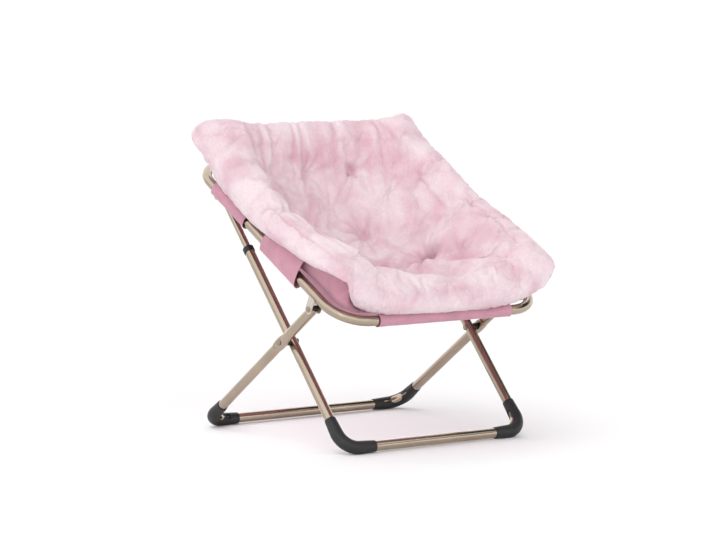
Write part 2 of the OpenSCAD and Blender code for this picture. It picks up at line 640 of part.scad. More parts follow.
// Fabric sleeve round the rim tube, from s along the piece's own axis
module sleeve(length) rotate([-90, 0, 0]) difference() {
    cylinder(h = length, r = sleeve_r);
    translate([0, 0, -cut]) cylinder(h = length + 2 * cut, r = tube_r + soft_clear);
}
module bar_sleeve(at) color("#e3a9bb") at_rim() translate([-bar_sleeve_half, at, 0]) rotate([0, 0, -90])
    sleeve(2 * bar_sleeve_half);
module side_sleeve(side, at, length) color("#e3a9bb") at_rim() translate([side * outer_half_w, at, 0])
    sleeve(length);
module sleeve_front() bar_sleeve(0);
module sleeve_rear() bar_sleeve(rim_len);
module sleeve_left_front() side_sleeve(LEFT, front_sleeve_start, front_sleeve_len);
module sleeve_left_rear() side_sleeve(LEFT, rear_sleeve_start, rear_sleeve_len);
module sleeve_right_front() side_sleeve(RIGHT, front_sleeve_start, front_sleeve_len);
module sleeve_right_rear() side_sleeve(RIGHT, rear_sleeve_start, rear_sleeve_len);

// Woven tray that hangs from the sleeves and carries the cushion
module seat_tray() color("#dfa3b6") at_rim() {
    inner_w = tray_half_w - tray_t;
    inner_d = tray_depth - tray_t;
    ringed_solid(
        [0, rim_mid - bowl_shift, -inner_d],
        concat(
            [for (k = [len(tray_ring_shares) - 1 : -1 : 0]) tray_ring(tray_ring_shares[k], inner_w, inner_d)],
            [edge_ring(tray_half_w, -tray_lip / 3), edge_ring(tray_edge, tray_edge_rise + tray_t)],
            [edge_ring(tray_edge, tray_edge_rise), edge_ring(tray_half_w + roll_clear, -tray_lip / 2)],
            [for (t = tray_ring_shares) tray_ring(t, tray_half_w, tray_depth)]
        ),
        [0, rim_mid - bowl_shift, -tray_depth]
    );
}

// Tufted dish cushion with its border roll
module seat_cushion() color("#f4c6d3") at_rim() ringed_solid(
    [0, rim_mid - bowl_shift, -dish_depth - sewn_dip([0, rim_mid - bowl_shift])],
    cushion_rings,
    [0, rim_mid - bowl_shift, -tray_depth + tray_t + tray_gap]
);

rear_leg_frame();
rear_boot_left();
rear_boot_right();
pivot_rivet_left();
pivot_rivet_right();
leg_plug_left();
leg_plug_right();
front_leg_frame();
front_boot_left();
front_boot_right();
pivot_spacer_left();
pivot_spacer_right();
slide_collar_left();
slide_collar_right();
upper_tube_left();
upper_tube_right();
guide_bush_left();
guide_bush_right();
rim_front();
rim_rear();
rim_joiner_left();
rim_joiner_right();
front_bracket_left();
front_bracket_right();
front_hinge_pin_left();
front_hinge_pin_right();
rear_hanger_left();
rear_hanger_right();
rear_hinge_pin_left();
rear_hinge_pin_right();
bracket_rivets();
sleeve_front();
sleeve_rear();
sleeve_left_front();
sleeve_left_rear();
sleeve_right_front();
sleeve_right_rear();
seat_tray();
seat_cushion();
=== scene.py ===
"""Looks for a folding saucer chair.

It has lacquered tubes, moulded corner boots, woven cloth and a tufted plush dish cushion. Cloth and cushion
are shaped in millimetres in the rim's own frame, and RIM then places them.
"""

import json
import math

import bmesh
import bpy
import numpy as np
from mathutils import Matrix, Vector, noise


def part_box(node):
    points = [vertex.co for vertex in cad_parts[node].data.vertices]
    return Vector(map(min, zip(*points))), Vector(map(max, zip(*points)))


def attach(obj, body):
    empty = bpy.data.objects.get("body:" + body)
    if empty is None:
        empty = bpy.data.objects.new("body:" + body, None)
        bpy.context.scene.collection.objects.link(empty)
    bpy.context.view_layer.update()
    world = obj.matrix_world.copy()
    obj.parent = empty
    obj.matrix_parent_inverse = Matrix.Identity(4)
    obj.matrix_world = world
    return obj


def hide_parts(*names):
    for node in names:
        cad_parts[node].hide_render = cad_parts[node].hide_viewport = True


bl_info = {
    "name": "Folding Saucer Chair",
    "version": (1, 0, 0),
    "blender": (4, 5, 0),
    "location": "View3D > Sidebar > Chair",
    "description": "Builds the cloth, cushion, materials and stage round the packed chair",
    "category": "Object",
}

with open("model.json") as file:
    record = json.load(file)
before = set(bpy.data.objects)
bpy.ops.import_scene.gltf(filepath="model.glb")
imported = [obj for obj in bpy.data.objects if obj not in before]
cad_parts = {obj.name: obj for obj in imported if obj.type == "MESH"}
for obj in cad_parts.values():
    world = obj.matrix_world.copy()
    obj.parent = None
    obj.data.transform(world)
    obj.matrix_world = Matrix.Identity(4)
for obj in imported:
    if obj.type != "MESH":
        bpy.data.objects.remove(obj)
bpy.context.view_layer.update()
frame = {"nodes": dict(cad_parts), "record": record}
nodes = frame["nodes"]

MM = 0.001
# Keeps a division from meeting nothing
TINY = 1e-9
# Points nearer than this many metres are one
SAME_PLACE = 1e-6


def middle(name):
    """The middle of a node's box."""
    low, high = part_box(name)
    return (low + high) / 2


# The rim's own frame: X across the chair, Y back along the rim and Z out of the seat, in millimetres.
# The front bar lies on its X axis.
RIM_FRONT = middle("sleeve_front")
RIM_REAR = middle("sleeve_rear")
RIM_LEN = (RIM_REAR - RIM_FRONT).length / MM
RIM_ALONG = (RIM_REAR - RIM_FRONT).normalized()
RIM_UP = Vector((1, 0, 0)).cross(RIM_ALONG)
RIM = Matrix.Translation(RIM_FRONT) @ Matrix((
    (MM, RIM_ALONG.x * MM, RIM_UP.x * MM, 0),
    (0, RIM_ALONG.y * MM, RIM_UP.y * MM, 0),
    (0, RIM_ALONG.z * MM, RIM_UP.z * MM, 0),
    (0, 0, 0, 1),
))
TUBE_R = 12.5
RIM_HALF_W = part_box("rim_front")[1].x / MM - TUBE_R


# Sizes and colours


class SaucerCushionSizes(bpy.types.PropertyGroup):
    half_width: bpy.props.FloatProperty(
        name="Half width", default=340.0,
        description="Half the cushion's width at its widest, in millimetres")
    roll_height: bpy.props.FloatProperty(
        name="Roll height", default=106.0,
        description="Height of the border roll above the rim at the sides, in millimetres")
    roll_half_width: bpy.props.FloatProperty(
        name="Roll half width", description="Half the border roll's thickness, in millimetres", default=45.0)
    dish_depth: bpy.props.FloatProperty(
        name="Dish depth", default=88.0,
        description="Depth of the seat surface below the rim, in millimetres")
    front_over: bpy.props.FloatProperty(
        name="Front overhang", description="Reach past the front bar, in millimetres", default=26.0)
    rear_over: bpy.props.FloatProperty(
        name="Rear overhang", default=42.0,
        description="Reach of the rear corners past the rear bar, in millimetres")
    foot_lift: bpy.props.FloatProperty(
        name="Edge lift", default=64.0,
        description="Lift of the plush's lower edge at the front corners, in millimetres")
    tuft_depth: bpy.props.FloatProperty(
        name="Tuft depth", description="Depth of a sewn tuft, in millimetres", default=17.0)
    crease_depth: bpy.props.FloatProperty(
        name="Crease depth", default=15.0,
        description="Depth of the creases between seat, back and wings, in millimetres")
    wrinkle: bpy.props.FloatProperty(
        name="Wrinkle height", default=3.0,
        description="Height of the plush's loose wrinkles, in millimetres")
    pile: bpy.props.FloatProperty(
        name="Pile height", description="Height of the clumps in the pile, in millimetres", default=0.8)
    pressure: bpy.props.FloatProperty(
        name="Filling pressure", description="Pressure of the filling in the cloth simulation", default=1.0)
    slack: bpy.props.FloatProperty(
        name="Slack", description="Share by which the plush is cut larger than the filling",
        default=0.07, min=0.0, max=0.5, subtype="FACTOR")
    stiffness: bpy.props.FloatProperty(
        name="Bending stiffness", description="Bending stiffness of the plush in the simulation", default=0.6)
    swell_cap: bpy.props.FloatProperty(
        name="Swell cap", default=14.0,
        description="The furthest that the simulation may move a point, in millimetres")
    rows: bpy.props.IntProperty(
        name="Rows", description="Mesh rows across the upper side", default=200, min=40, max=260)


class SaucerClothSizes(bpy.types.PropertyGroup):
    tray_half_width: bpy.props.FloatProperty(
        name="Tray half width", description="Half width of the hanging cloth, in millimetres", default=249.0)
    tray_depth: bpy.props.FloatProperty(
        name="Tray depth", default=122.0,
        description="Depth of the hanging cloth below the rim, in millimetres")
    thickness: bpy.props.FloatProperty(
        name="Cloth thickness", description="Thickness of the woven cloth, in millimetres", default=1.2)


class SaucerColours(bpy.types.PropertyGroup):
    # painted sheen: the plush where its pile catches the light
    plush_painted_sheen: bpy.props.StringProperty(
        name="Plush, laid", default="#ECDADF",
        description="Plush with its pile lying towards the light, as sRGB hex")
    plush_mid: bpy.props.StringProperty(
        name="Plush", description="Plush, as sRGB hex", default="#E6CCD4")
    # painted shade: the plush where its pile is lifted
    plush_painted_shade: bpy.props.StringProperty(
        name="Plush, lifted", description="Plush with its pile lifted, as sRGB hex", default="#DDB9C4")
    woven: bpy.props.StringProperty(
        name="Woven cloth", description="Woven cloth, as sRGB hex", default="#D69CAE")
    lacquer: bpy.props.StringProperty(
        name="Tube lacquer", description="Metallic lacquer of the tubes, as sRGB hex", default="#B3A493")
    bracket: bpy.props.StringProperty(
        name="Brackets", description="Metallic lacquer of the brackets, as sRGB hex", default="#D8D0C4")
    black: bpy.props.StringProperty(
        name="Plastic", description="Boots, collars, spacers and plugs, as sRGB hex", default="#19191B")
    rivet: bpy.props.StringProperty(
        name="Rivets", description="Burnished rivets and pins, as sRGB hex", default="#AB9E90")
    floor: bpy.props.StringProperty(
        name="Floor", description="Pale floor, as sRGB hex", default="#FBFBFC")


class SaucerStageSizes(bpy.types.PropertyGroup):
    lens: bpy.props.FloatProperty(
        name="Lens", description="Focal length of the camera on a 36 mm sensor", default=144.7, unit="CAMERA")
    key_power: bpy.props.FloatProperty(
        name="Key light", description="Power of the strip light on the left", default=3.0, unit="POWER")
    fill_power: bpy.props.FloatProperty(
        name="Fill light", description="Power of the light over the camera", default=26.0, unit="POWER")
    sky: bpy.props.FloatProperty(
        name="Sky", description="Strength of the surrounding light", default=1.5)


# Helpers


def linear(text):
    """An sRGB hex colour as the linear values a shader takes."""
    parts = [int(text[i:i + 2], 16) / 255 for i in (1, 3, 5)]
    return (*[p / 12.92 if p <= 0.04045 else ((p + 0.055) / 1.055) ** 2.4 for p in parts], 1.0)


def chosen(name):
    """One of the chair's own colours, as the linear values a shader takes."""
    return linear(getattr(bpy.context.scene.saucer_colours, name))


def darker(colour, share):
    """A colour with its light cut to a share."""
    return (*[c * share for c in colour[:3]], 1.0)


def grey(value):
    return (value, value, value, 1.0)


def per_metre(size):
    """The scale of a pattern on Object coordinates whose features are size millimetres wide."""
    return 1 / (size * MM)


def add(tree, kind, links=None, inputs=None, **settings):
    """Adds one node: settings are its properties, inputs its values and links its incoming sockets."""
    n = tree.nodes.new(kind)
    for key, value in settings.items():
        setattr(n, key, value)
    for key, value in (inputs or {}).items():
        n.inputs[key].default_value = value
    for key, (source, socket) in (links or {}).items():
        tree.links.new(source.outputs[socket], n.inputs[key])
    return n


def ramp(tree, source, *pairs):
    """A colour ramp over a source, with its stops as (place, linear colour)."""
    n = add(tree, "ShaderNodeValToRGB", {"Fac": source})
    band = n.color_ramp.elements
    while len(band) < len(pairs):
        band.new(1.0)
    for element, (place, colour) in zip(band, pairs):
        element.position = place
        element.color = colour
    return n


def mottle(tree, links, size, detail, **more):
    """Noise with features size millimetres wide."""
    return add(tree, "ShaderNodeTexNoise", links, {"Scale": per_metre(size), "Detail": detail, **more})


def span(tree, source, low, high, to_low=0.0, to_high=1.0):
    """A source's values from low to high as values from to_low to to_high."""
    return add(tree, "ShaderNodeMapRange", {"Value": source},
               {"From Min": low, "From Max": high, "To Min": to_low, "To Max": to_high})


def bumps(tree, source, strength, height):
    """Bumps after a source, of a height in millimetres."""
    return add(tree, "ShaderNodeBump", {"Height": source}, {"Strength": strength, "Distance": height * MM})


def blank(name):
    """A new material, its node tree, and the link that lays a pattern on the piece's own coordinates."""
    m = bpy.data.materials.new(name)
    m.use_nodes = True
    m.node_tree.nodes.clear()
    return m, m.node_tree, {"Vector": (add(m.node_tree, "ShaderNodeTexCoord"), "Object")}


def surfaced(m, links, inputs):
    """Ends a material's tree with its one Principled surface."""
    shader = add(m.node_tree, "ShaderNodeBsdfPrincipled", links, inputs)
    add(m.node_tree, "ShaderNodeOutputMaterial", {"Surface": (shader, "BSDF")})
    return m


def lay_out(bm, points):
    """Moves a bmesh's points to their places."""
    for v, p in zip(bm.verts, points):
        v.co = p


def finish_piece(bm, name, finishes):
    """Turns a bmesh that lies in its place into a smooth piece that rides on the seat."""
    bmesh.ops.remove_doubles(bm, verts=bm.verts, dist=SAME_PLACE)
    bmesh.ops.recalc_face_normals(bm, faces=bm.faces)
    mesh = bpy.data.meshes.new(name)
    bm.to_mesh(mesh)
    bm.free()
    for finish_name in finishes:
        mesh.materials.append(finish(finish_name))
    piece = bpy.data.objects.new(name, mesh)
    bpy.context.scene.collection.objects.link(piece)
    for face in mesh.polygons:
        face.use_smooth = True
    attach(piece, "seat")
    return piece


# Materials


def make_lacquer():
    # Drawn steel tube under champagne metallic lacquer: a clear bright streak along each tube,
    # a dark brown reflection beside it, and fine flake.
    m, tree, here = blank("champagne_lacquered_steel")
    colour = chosen("lacquer")
    # lacquer flake of 0.1 mm, drawn at 1.54 mm so that it shows, and clouds a hand wide
    flake = mottle(tree, here, 1.54, 2.0)
    cloud = mottle(tree, here, 71, 3.0)
    tint = ramp(tree, (cloud, "Fac"), (0.3, darker(colour, 0.86)), (0.7, colour))
    rough = span(tree, (flake, "Fac"), 0.3, 0.7, 0.15, 0.21)
    bump = bumps(tree, (flake, "Fac"), 0.02, 0.2)
    links = {"Base Color": (tint, "Color"), "Roughness": (rough, "Result"), "Normal": (bump, "Normal")}
    return surfaced(m, links, {"Metallic": 1.0, "Roughness": 0.18})


def make_bracket_steel():
    # Stamped steel under a paler lacquer: brighter than the tube, with faint press marks.
    m, tree, here = blank("lacquered_stamped_steel")
    colour = chosen("bracket")
    marks = mottle(tree, here, 5.55, 4.0)
    tint = ramp(tree, (marks, "Fac"), (0.25, darker(colour, 0.8)), (0.65, colour))
    bump = bumps(tree, (marks, "Fac"), 0.12, 0.3)
    return surfaced(m, {"Base Color": (tint, "Color"), "Normal": (bump, "Normal")},
                    {"Metallic": 1.0, "Roughness": 0.3})


def make_rivet_steel():
    # Cold-headed steel, burnished dark: soft highlights and turning marks.
    m, tree, here = blank("burnished_rivet_steel")
    colour = chosen("rivet")
    # turning marks of 0.2 mm, drawn at 2.4 mm so that they show
    grain = mottle(tree, here, 2.4, 3.0)
    tint = ramp(tree, (grain, "Fac"), (0.3, darker(colour, 0.7)), (0.7, colour))
    bump = bumps(tree, (grain, "Fac"), 0.1, 0.2)
    return surfaced(m, {"Base Color": (tint, "Color"), "Normal": (bump, "Normal")},
                    {"Metallic": 1.0, "Roughness": 0.36})


def make_zinc_steel():
    # Zinc-plated steel sleeve inside the rim: pale, with a faint spangle of about 4 mm.
    m, tree, here = blank("zinc_plated_steel")
    spangle = add(tree, "ShaderNodeTexVoronoi", here, {"Scale": per_metre(3.85)})
    tint = ramp(tree, (spangle, "Distance"), (0.0, linear("#A9A7A3")), (0.8, linear("#C4C1BB")))
    return surfaced(m, {"Base Color": (tint, "Color")}, {"Metallic": 1.0, "Roughness": 0.38})


def make_moulded_black():
    # Injection-moulded polypropylene: near black, a fine spark-eroded grain, and pale scuffs.
    m, tree, here = blank("moulded_black_polypropylene")
    # mould grain of 0.6 mm, drawn at 1.25 mm so that it shows, and scuffs about 22 mm wide
    grain = mottle(tree, here, 1.25, 2.0)
    scuff = mottle(tree, here, 22.2, 6.0, Roughness=0.7)
    tint = ramp(tree, (scuff, "Fac"),
                (0.45, chosen("black")), (0.72, linear("#2B2B2D")), (0.85, linear("#4A4A4C")))
    rough = span(tree, (scuff, "Fac"), 0.3, 0.8, 0.42, 0.66)
    bump = bumps(tree, (grain, "Fac"), 0.22, 0.4)
    links = {"Base Color": (tint, "Color"), "Roughness": (rough, "Result"), "Normal": (bump, "Normal")}
    return surfaced(m, links, {"Roughness": 0.5, "IOR": 1.49})


def make_acetal():
    # Natural acetal guide bush: milky white and waxy, clouded about 11 mm wide.
    m, tree, here = blank("natural_acetal")
    milk = mottle(tree, here, 11.1, 2.0)
    tint = ramp(tree, (milk, "Fac"), (0.3, linear("#D9D5CC")), (0.7, linear("#E9E6DF")))
    return surfaced(m, {"Base Color": (tint, "Color")}, {"Roughness": 0.42, "IOR": 1.48})


# Every cloth's UV map is its own metres times this
UV_PER_METRE = 10
# A wave texture of scale 1 has 20 radians to a unit
WAVE_RADIANS = 20
# Threads lie every 0.5 mm in the real cloth, and are drawn a little coarser
THREAD_PITCH = 0.6283


def make_woven():
    # Close plain-woven polyester: matt, a thread grid, a slight slub and a soft edge sheen.
    m, tree, here = blank("plain_woven_polyester")
    colour = chosen("woven")
    thread_scale = math.tau / WAVE_RADIANS / (THREAD_PITCH * MM * UV_PER_METRE)
    on_cloth = {"Vector": (here["Vector"][0], "UV")}
    threads = {"Scale": thread_scale, "Distortion": 0.6, "Detail": 1.0}
    warp = add(tree, "ShaderNodeTexWave", on_cloth, threads, bands_direction="X")
    weft = add(tree, "ShaderNodeTexWave", on_cloth, threads, bands_direction="Y")
    weave = add(tree, "ShaderNodeMath", {0: (warp, "Fac"), 1: (weft, "Fac")}, operation="MULTIPLY")
    # slubs and wear about 36 mm wide
    slub = mottle(tree, here, 35.7, 4.0)
    tint = ramp(tree, (slub, "Fac"), (0.3, darker(colour, 0.84)), (0.7, colour))
    cloth = add(tree, "ShaderNodeMix", {"A": (tint, "Color"), "B": (weave, 0)}, {"Factor": 0.16},
                data_type="RGBA", blend_type="MULTIPLY")
    bump = bumps(tree, (weave, 0), 0.25, 0.4)
    return surfaced(m, {"Base Color": (cloth, "Result"), "Normal": (bump, "Normal")},
                    {"Roughness": 0.82, "Sheen Weight": 0.25, "Sheen Roughness": 0.4})


def make_plush():
    # Knitted plush with a 6 mm polyester pile, brushed all ways: painted sheen makes it pale where it lies
    # down and painted shade makes it deeper where it lifts or parts, with a soft sheen and no gloss.
    m, tree, here = blank("brushed_polyester_plush")
    # hand-sized patches of pile direction, 91 mm wide, bent by a drift of 200 mm, painted in sheen and shade
    drift = mottle(tree, here, 200, 2.0)
    bent = add(tree, "ShaderNodeMix", {"A": here["Vector"], "B": (drift, "Color")}, {"Factor": 0.05},
               data_type="RGBA", blend_type="LINEAR_LIGHT")
    patch = mottle(tree, {"Vector": (bent, "Result")}, 90.91, 2.5, Roughness=0.45, Distortion=0.4)
    tint = ramp(tree, (patch, "Fac"),
                (0.28, chosen("plush_painted_shade")), (0.46, chosen("plush_mid")), (0.64, chosen("plush_painted_sheen")))
    # clumps of fibre about 7 mm wide, and single fibres drawn at 1.4 mm so that they show
    tuft = mottle(tree, here, 6.67, 3.0, Distortion=0.6)
    fibre = mottle(tree, here, 1.43, 2.0)
    both = add(tree, "ShaderNodeMath", {0: (tuft, "Fac"), 1: (fibre, "Fac")}, operation="ADD")
    speck = span(tree, (both, 0), 0.7, 1.3, 0.9, 1.05)
    pile = add(tree, "ShaderNodeMix", {"A": (tint, "Color"), "B": (speck, "Result")}, {"Factor": 1.0},
               data_type="RGBA", blend_type="MULTIPLY")
    # the cushion's own attribute: painted shade, a deeper pink down in the creases, tufts, folds and seams
    crease = add(tree, "ShaderNodeAttribute", attribute_name="crease")
    crease_shaded = add(tree, "ShaderNodeMix", {"Factor": (crease, "Fac"), "A": (pile, "Result")},
               {"B": linear("#EDB8C6")}, data_type="RGBA", blend_type="MULTIPLY")
    bump = bumps(tree, (both, 0), 0.55, 1.6)
    return surfaced(m, {"Base Color": (crease_shaded, "Result"), "Normal": (bump, "Normal")},
                    {"Roughness": 0.95, "Sheen Weight": 0.2, "Sheen Roughness": 0.45,
                     "Sheen Tint": linear("#FBEFF2")})


def make_floor_paint():
    # Matt pale floor paint, with a trace of unevenness about 1.25 m wide.
    m, tree, here = blank("matt_pale_floor")
    colour = chosen("floor")
    cloud = mottle(tree, here, 1250, 2.0)
    tint = ramp(tree, (cloud, "Fac"), (0.3, darker(colour, 0.99)), (0.7, colour))
    return surfaced(m, {"Base Color": (tint, "Color")}, {"Roughness": 0.9})


MAKERS = {
    "lacquer": make_lacquer, "bracket": make_bracket_steel, "rivet": make_rivet_steel,
    "zinc": make_zinc_steel, "black": make_moulded_black, "acetal": make_acetal, "woven": make_woven,
    "plush": make_plush, "floor": make_floor_paint,
}
FINISHES = {}


def finish(name):
    """One of the chair's materials, made when it is first asked for."""
    if name not in FINISHES:
        FINISHES[name] = MAKERS[name]()
    return FINISHES[name]


# Outline of the cushion and the cloth

# Lengths are in millimetres, and places along a ray or a side are shares of it
# Outlines are superellipses of these powers, and rounder towards the middle of the seat
OUTLINE_POWER = 4.6
TRAY_POWER = 5.5
ROUND_POWER = 2
# The deepest place lies this far in front of the rim's middle
BOWL_SHIFT = 66.0
# The back edge runs in from its corners by this much in the middle
BACK_BOW = 44.0
# The corners reach out by these shares
FRONT_CORNER_PUSH = 0.055
REAR_CORNER_PUSH = 0.11
# How much the roll's top is higher or lower than its height at the middle of the sides
SIDE_RISE = 38.0
BACK_RISE = 30.0
REAR_CORNER_RISE = 24.0
FRONT_CORNER_RISE = 9.0
FRONT_LOWER = 26.0
# The plush's lower edge lies this high over the rim's plane, and lifts towards the front corners
FOOT = 16.8
SIDE_LIFT_FROM = 0.15
SIDE_LIFT_POWER = 1.1
FRONT_LIFT_FROM = 0.85
FRONT_LIFT_RUN = 0.15
FRONT_LIFT_POWER = 1.9
FRONT_DROP = 10
FRONT_DROP_POWER = 6
ON_A_SIDE = 0.9999


def grid_rays(bm):
    """Each grid point's share of the way out, and the place on the unit square where its ray ends."""
    flat = np.array([v.co[:2] for v in bm.verts])
    r = np.abs(flat).max(1)
    at_middle = r < TINY
    safe = np.where(at_middle, 1.0, r)
    return r, flat[:, 0] / safe, np.where(at_middle, 1.0, flat[:, 1] / safe)


def outline(qx, qy, power):
    """The point of the unit superellipse in the direction of a point on the unit square."""
    k = (np.abs(qx) ** power + np.abs(qy) ** power) ** (1 / power)
    return qx / k, qy / k


def corner_share(x, y, power):
    """1 at a corner of a superellipse, falling to 0 along its sides."""
    return (4 * np.abs(x) ** power * np.abs(y) ** power) ** 3


def plan(qx, qy, rho, power, push):
    """Place in the rim's plane of share rho of the cushion's outline, corners pushed out by share push."""
    size = bpy.context.scene.saucer_cushion
    p = ROUND_POWER + (power - ROUND_POWER) * rho * rho
    x, y = outline(qx, qy, p)
    reach = np.where(y > 0, REAR_CORNER_PUSH, FRONT_CORNER_PUSH)
    grown = rho * (1 + push * reach * corner_share(x, y, p) * rho ** 3)
    mid = RIM_LEN / 2 - BOWL_SHIFT * (1 - rho)
    u, v = x * grown, y * grown
    bow = BACK_BOW * np.maximum(0, 1 - u ** 4) * np.maximum(v, 0) ** 3
    back = mid + (RIM_LEN + size.rear_over - mid) * v - bow
    front = mid + (mid + size.front_over) * v
    return size.half_width * u, np.where(v > 0, back, front)


def roll_top(qx, qy, height):
    """Height of the border roll's top: high along the back and at the corners, low mid-front."""
    x, y = outline(qx, qy, OUTLINE_POWER)
    corner = corner_share(x, y, OUTLINE_POWER)
    rear = BACK_RISE * y + REAR_CORNER_RISE * corner
    front = -y * (SIDE_RISE * x * x - FRONT_LOWER * (1 - x * x)) + FRONT_CORNER_RISE * corner
    return height + np.where(y > 0, rear, front)


def roll_foot(qx, qy, lift):
    """Height of the plush's lower edge, which lifts off the rim towards the front corners."""
    side = lift * np.clip(SIDE_LIFT_FROM - qy, 0, 1) ** SIDE_LIFT_POWER
    to_corner = np.clip((np.abs(qx) - FRONT_LIFT_FROM) / FRONT_LIFT_RUN, 0, 1)
    front = lift * to_corner ** FRONT_LIFT_POWER - FRONT_DROP * (1 - np.abs(qx) ** FRONT_DROP_POWER)
    return FOOT + np.where(np.abs(qx) >= ON_A_SIDE, side, np.where(qy < 0, front, 0))


def to_the_bars(v, front, rear):
    """How far a cloth edge is drawn out along the rim to reach the front and rear bars."""
    return np.where(v < 0, -front * np.abs(v) ** 3, rear * np.abs(v) ** 3)


def bump_curve(x):
    return np.exp(-x * x / 2)


def line_distance(x, y, points):
    """Distance in the plane from each point to a chain of straight lines."""
    best = np.full(x.shape, np.inf)
    for (ax, ay), (bx, by) in zip(points[:-1], points[1:]):
        dx, dy = bx - ax, by - ay
        t = np.clip(((x - ax) * dx + (y - ay) * dy) / (dx * dx + dy * dy), 0, 1)
        best = np.minimum(best, np.hypot(x - ax - t * dx, y - ay - t * dy))
    return best


# Each seed moves the noise by this many features
SEED_STEPS = (17.3, 5.1, 9.7)


def rolling_noise(points, width, seed):
    """Smooth noise from -1 to 1 at points in millimetres, with features about width millimetres wide."""
    shift = Vector([seed * step for step in SEED_STEPS])
    return np.array([noise.noise(Vector(p) / width + shift) for p in points])


# Form of the cushion

# A ray from the middle crosses the dish and the border roll up to these shares of the mesh, then the band
DISH_ROWS = 0.6
PLUSH_ROWS = 0.96
# The roll's section runs between these angles
ROLL_START = math.radians(150)
ROLL_END = math.radians(-88)
DISH_POWER = 2.6
# The front of the seat is filled fuller than the back by this much
SEAT_FULL = 16.0
# The roll's corners tuck in towards its foot, and the band under them reaches out over the tube
ROLL_TUCK = 1.7
BAND_PUSH_FRONT = 3.4
BAND_PUSH_REAR = 1.0
BAND_TO_BARS = (28, 42)
BAND_HALF_W = 291
BAND_SINK = 1.5
# The cushion's underside and the cloth start their bowl this far below the rim's plane
SHOULDER = 16
BOWL_POWER = 4.4
# The underside starts with a ring under the band, and its other rings lie this gap inside the cloth's size
UNDER_EDGE_HALF_W = 251
UNDER_EDGE_UP = 0.4
UNDER_GAP = 3.4
UNDER_SHARES = (1.0, 0.94, 0.86, 0.74, 0.58, 0.4, 0.2, 0.05)


def cushion_form(r, qx, qy, size):
    """The upper side's three coordinates, and each point's angle round the border roll."""
    inner = 1 - size.roll_half_width * (1 - math.cos(ROLL_START)) / size.half_width
    top, foot = roll_top(qx, qy, size.roll_height), roll_foot(qx, qy, size.foot_lift)
    centre, half = (top + foot) / 2, (top - foot) / 2
    t = np.clip(r / DISH_ROWS, 0, 1)
    phi = ROLL_START + (ROLL_END - ROLL_START) * np.clip((r - DISH_ROWS) / (PLUSH_ROWS - DISH_ROWS), 0, 1)
    b = np.clip((r - PLUSH_ROWS) / (1 - PLUSH_ROWS), 0, 1)
    start = centre + half * math.sin(ROLL_START)
    dish_n = -size.dish_depth + (start + size.dish_depth) * t ** DISH_POWER
    dish_n += SEAT_FULL * np.clip(-qy, 0, 1) * np.sin(np.pi * t) * (1 - np.abs(qx * t) ** 2)
    roll_rho = 1 - size.roll_half_width * (1 - np.cos(phi)) / size.half_width
    roll_n = centre + half * np.sin(phi)
    band_rho = roll_rho * (1 - b) + (BAND_HALF_W / size.half_width) * b
    band_n = roll_n * (1 - b) + (FOOT - BAND_SINK) * b
    on_dish, on_band = r <= DISH_ROWS, r > PLUSH_ROWS
    rho = np.where(on_dish, t * inner, np.where(on_band, band_rho, roll_rho))
    push = 1 + ROLL_TUCK * np.minimum(np.sin(phi), 0) * (r > DISH_ROWS)
    push = push * (1 - b) + np.where(qy < 0, BAND_PUSH_FRONT, BAND_PUSH_REAR) * b
    x, s = plan(qx, qy, rho, OUTLINE_POWER, push)
    s = s + b * to_the_bars(outline(qx, qy, OUTLINE_POWER)[1], *BAND_TO_BARS)
    return x, s, np.where(on_dish, dish_n, np.where(on_band, band_n, roll_n)), phi


def close_underside(bm, size, cloth):
    """Closes the cushion with rings that follow the cloth it lies on."""
    depth = cloth.tray_depth - UNDER_GAP
    width = cloth.tray_half_width - UNDER_GAP
    rings = [(UNDER_EDGE_HALF_W / size.half_width, UNDER_EDGE_UP)]
    for share in UNDER_SHARES:
        hang = (depth - SHOULDER) * math.sqrt(max(0, 1 - share ** BOWL_POWER))
        rings.append((share * width / size.half_width, -SHOULDER - hang))
    edge = [e for e in bm.edges if e.is_boundary]
    for rho, n in rings:
        grown = bmesh.ops.extrude_edge_only(bm, edges=edge)["geom"]
        ring = [g for g in grown if isinstance(g, bmesh.types.BMVert)]
        edge = [g for g in grown if isinstance(g, bmesh.types.BMEdge) and g.is_boundary]
        at = ring_directions(ring, size)
        xs, ss = plan(at[:, 0], at[:, 1], np.full(len(ring), rho), TRAY_POWER, 0.0)
        for v, x, s in zip(ring, xs, ss):
            v.co = (x, s, n)
    bmesh.ops.contextual_create(bm, geom=edge)


def ring_directions(ring, size):
    """Where the rays through a ring's points end on the unit square."""
    at = np.array([v.co[:2] for v in ring])
    dx = at[:, 0] / size.half_width
    dy = (at[:, 1] - RIM_LEN / 2) / (RIM_LEN / 2)
    k = np.maximum(np.abs(dx), np.abs(dy))
    return np.stack([dx / k, dy / k], 1)


# Relief of the plush

# Sewn tufts in the dish, as (x, along, depth share, spread, pleats)
TUFTS = [
    (-45, 618, 0.9, 22, 7), (92, 618, 0.9, 22, 8), (-160, 596, 0.6, 20, 7), (168, 544, 0.5, 18, 6),
    (72, 474, 1.0, 24, 9), (-78, 478, 0.9, 24, 8), (-172, 420, 0.6, 20, 7), (172, 414, 0.6, 18, 6),
    (160, 322, 1.1, 20, 8), (-160, 322, 1.1, 20, 7), (0, 335, 0.5, 22, 6),
    (0, 180, 0.8, 24, 8), (112, 150, 0.6, 20, 7), (-112, 150, 0.6, 20, 7),
    (200, 60, 0.8, 16, 7), (-200, 60, 0.8, 16, 7), (196, 248, 0.6, 15, 6), (-196, 248, 0.6, 15, 6),
]
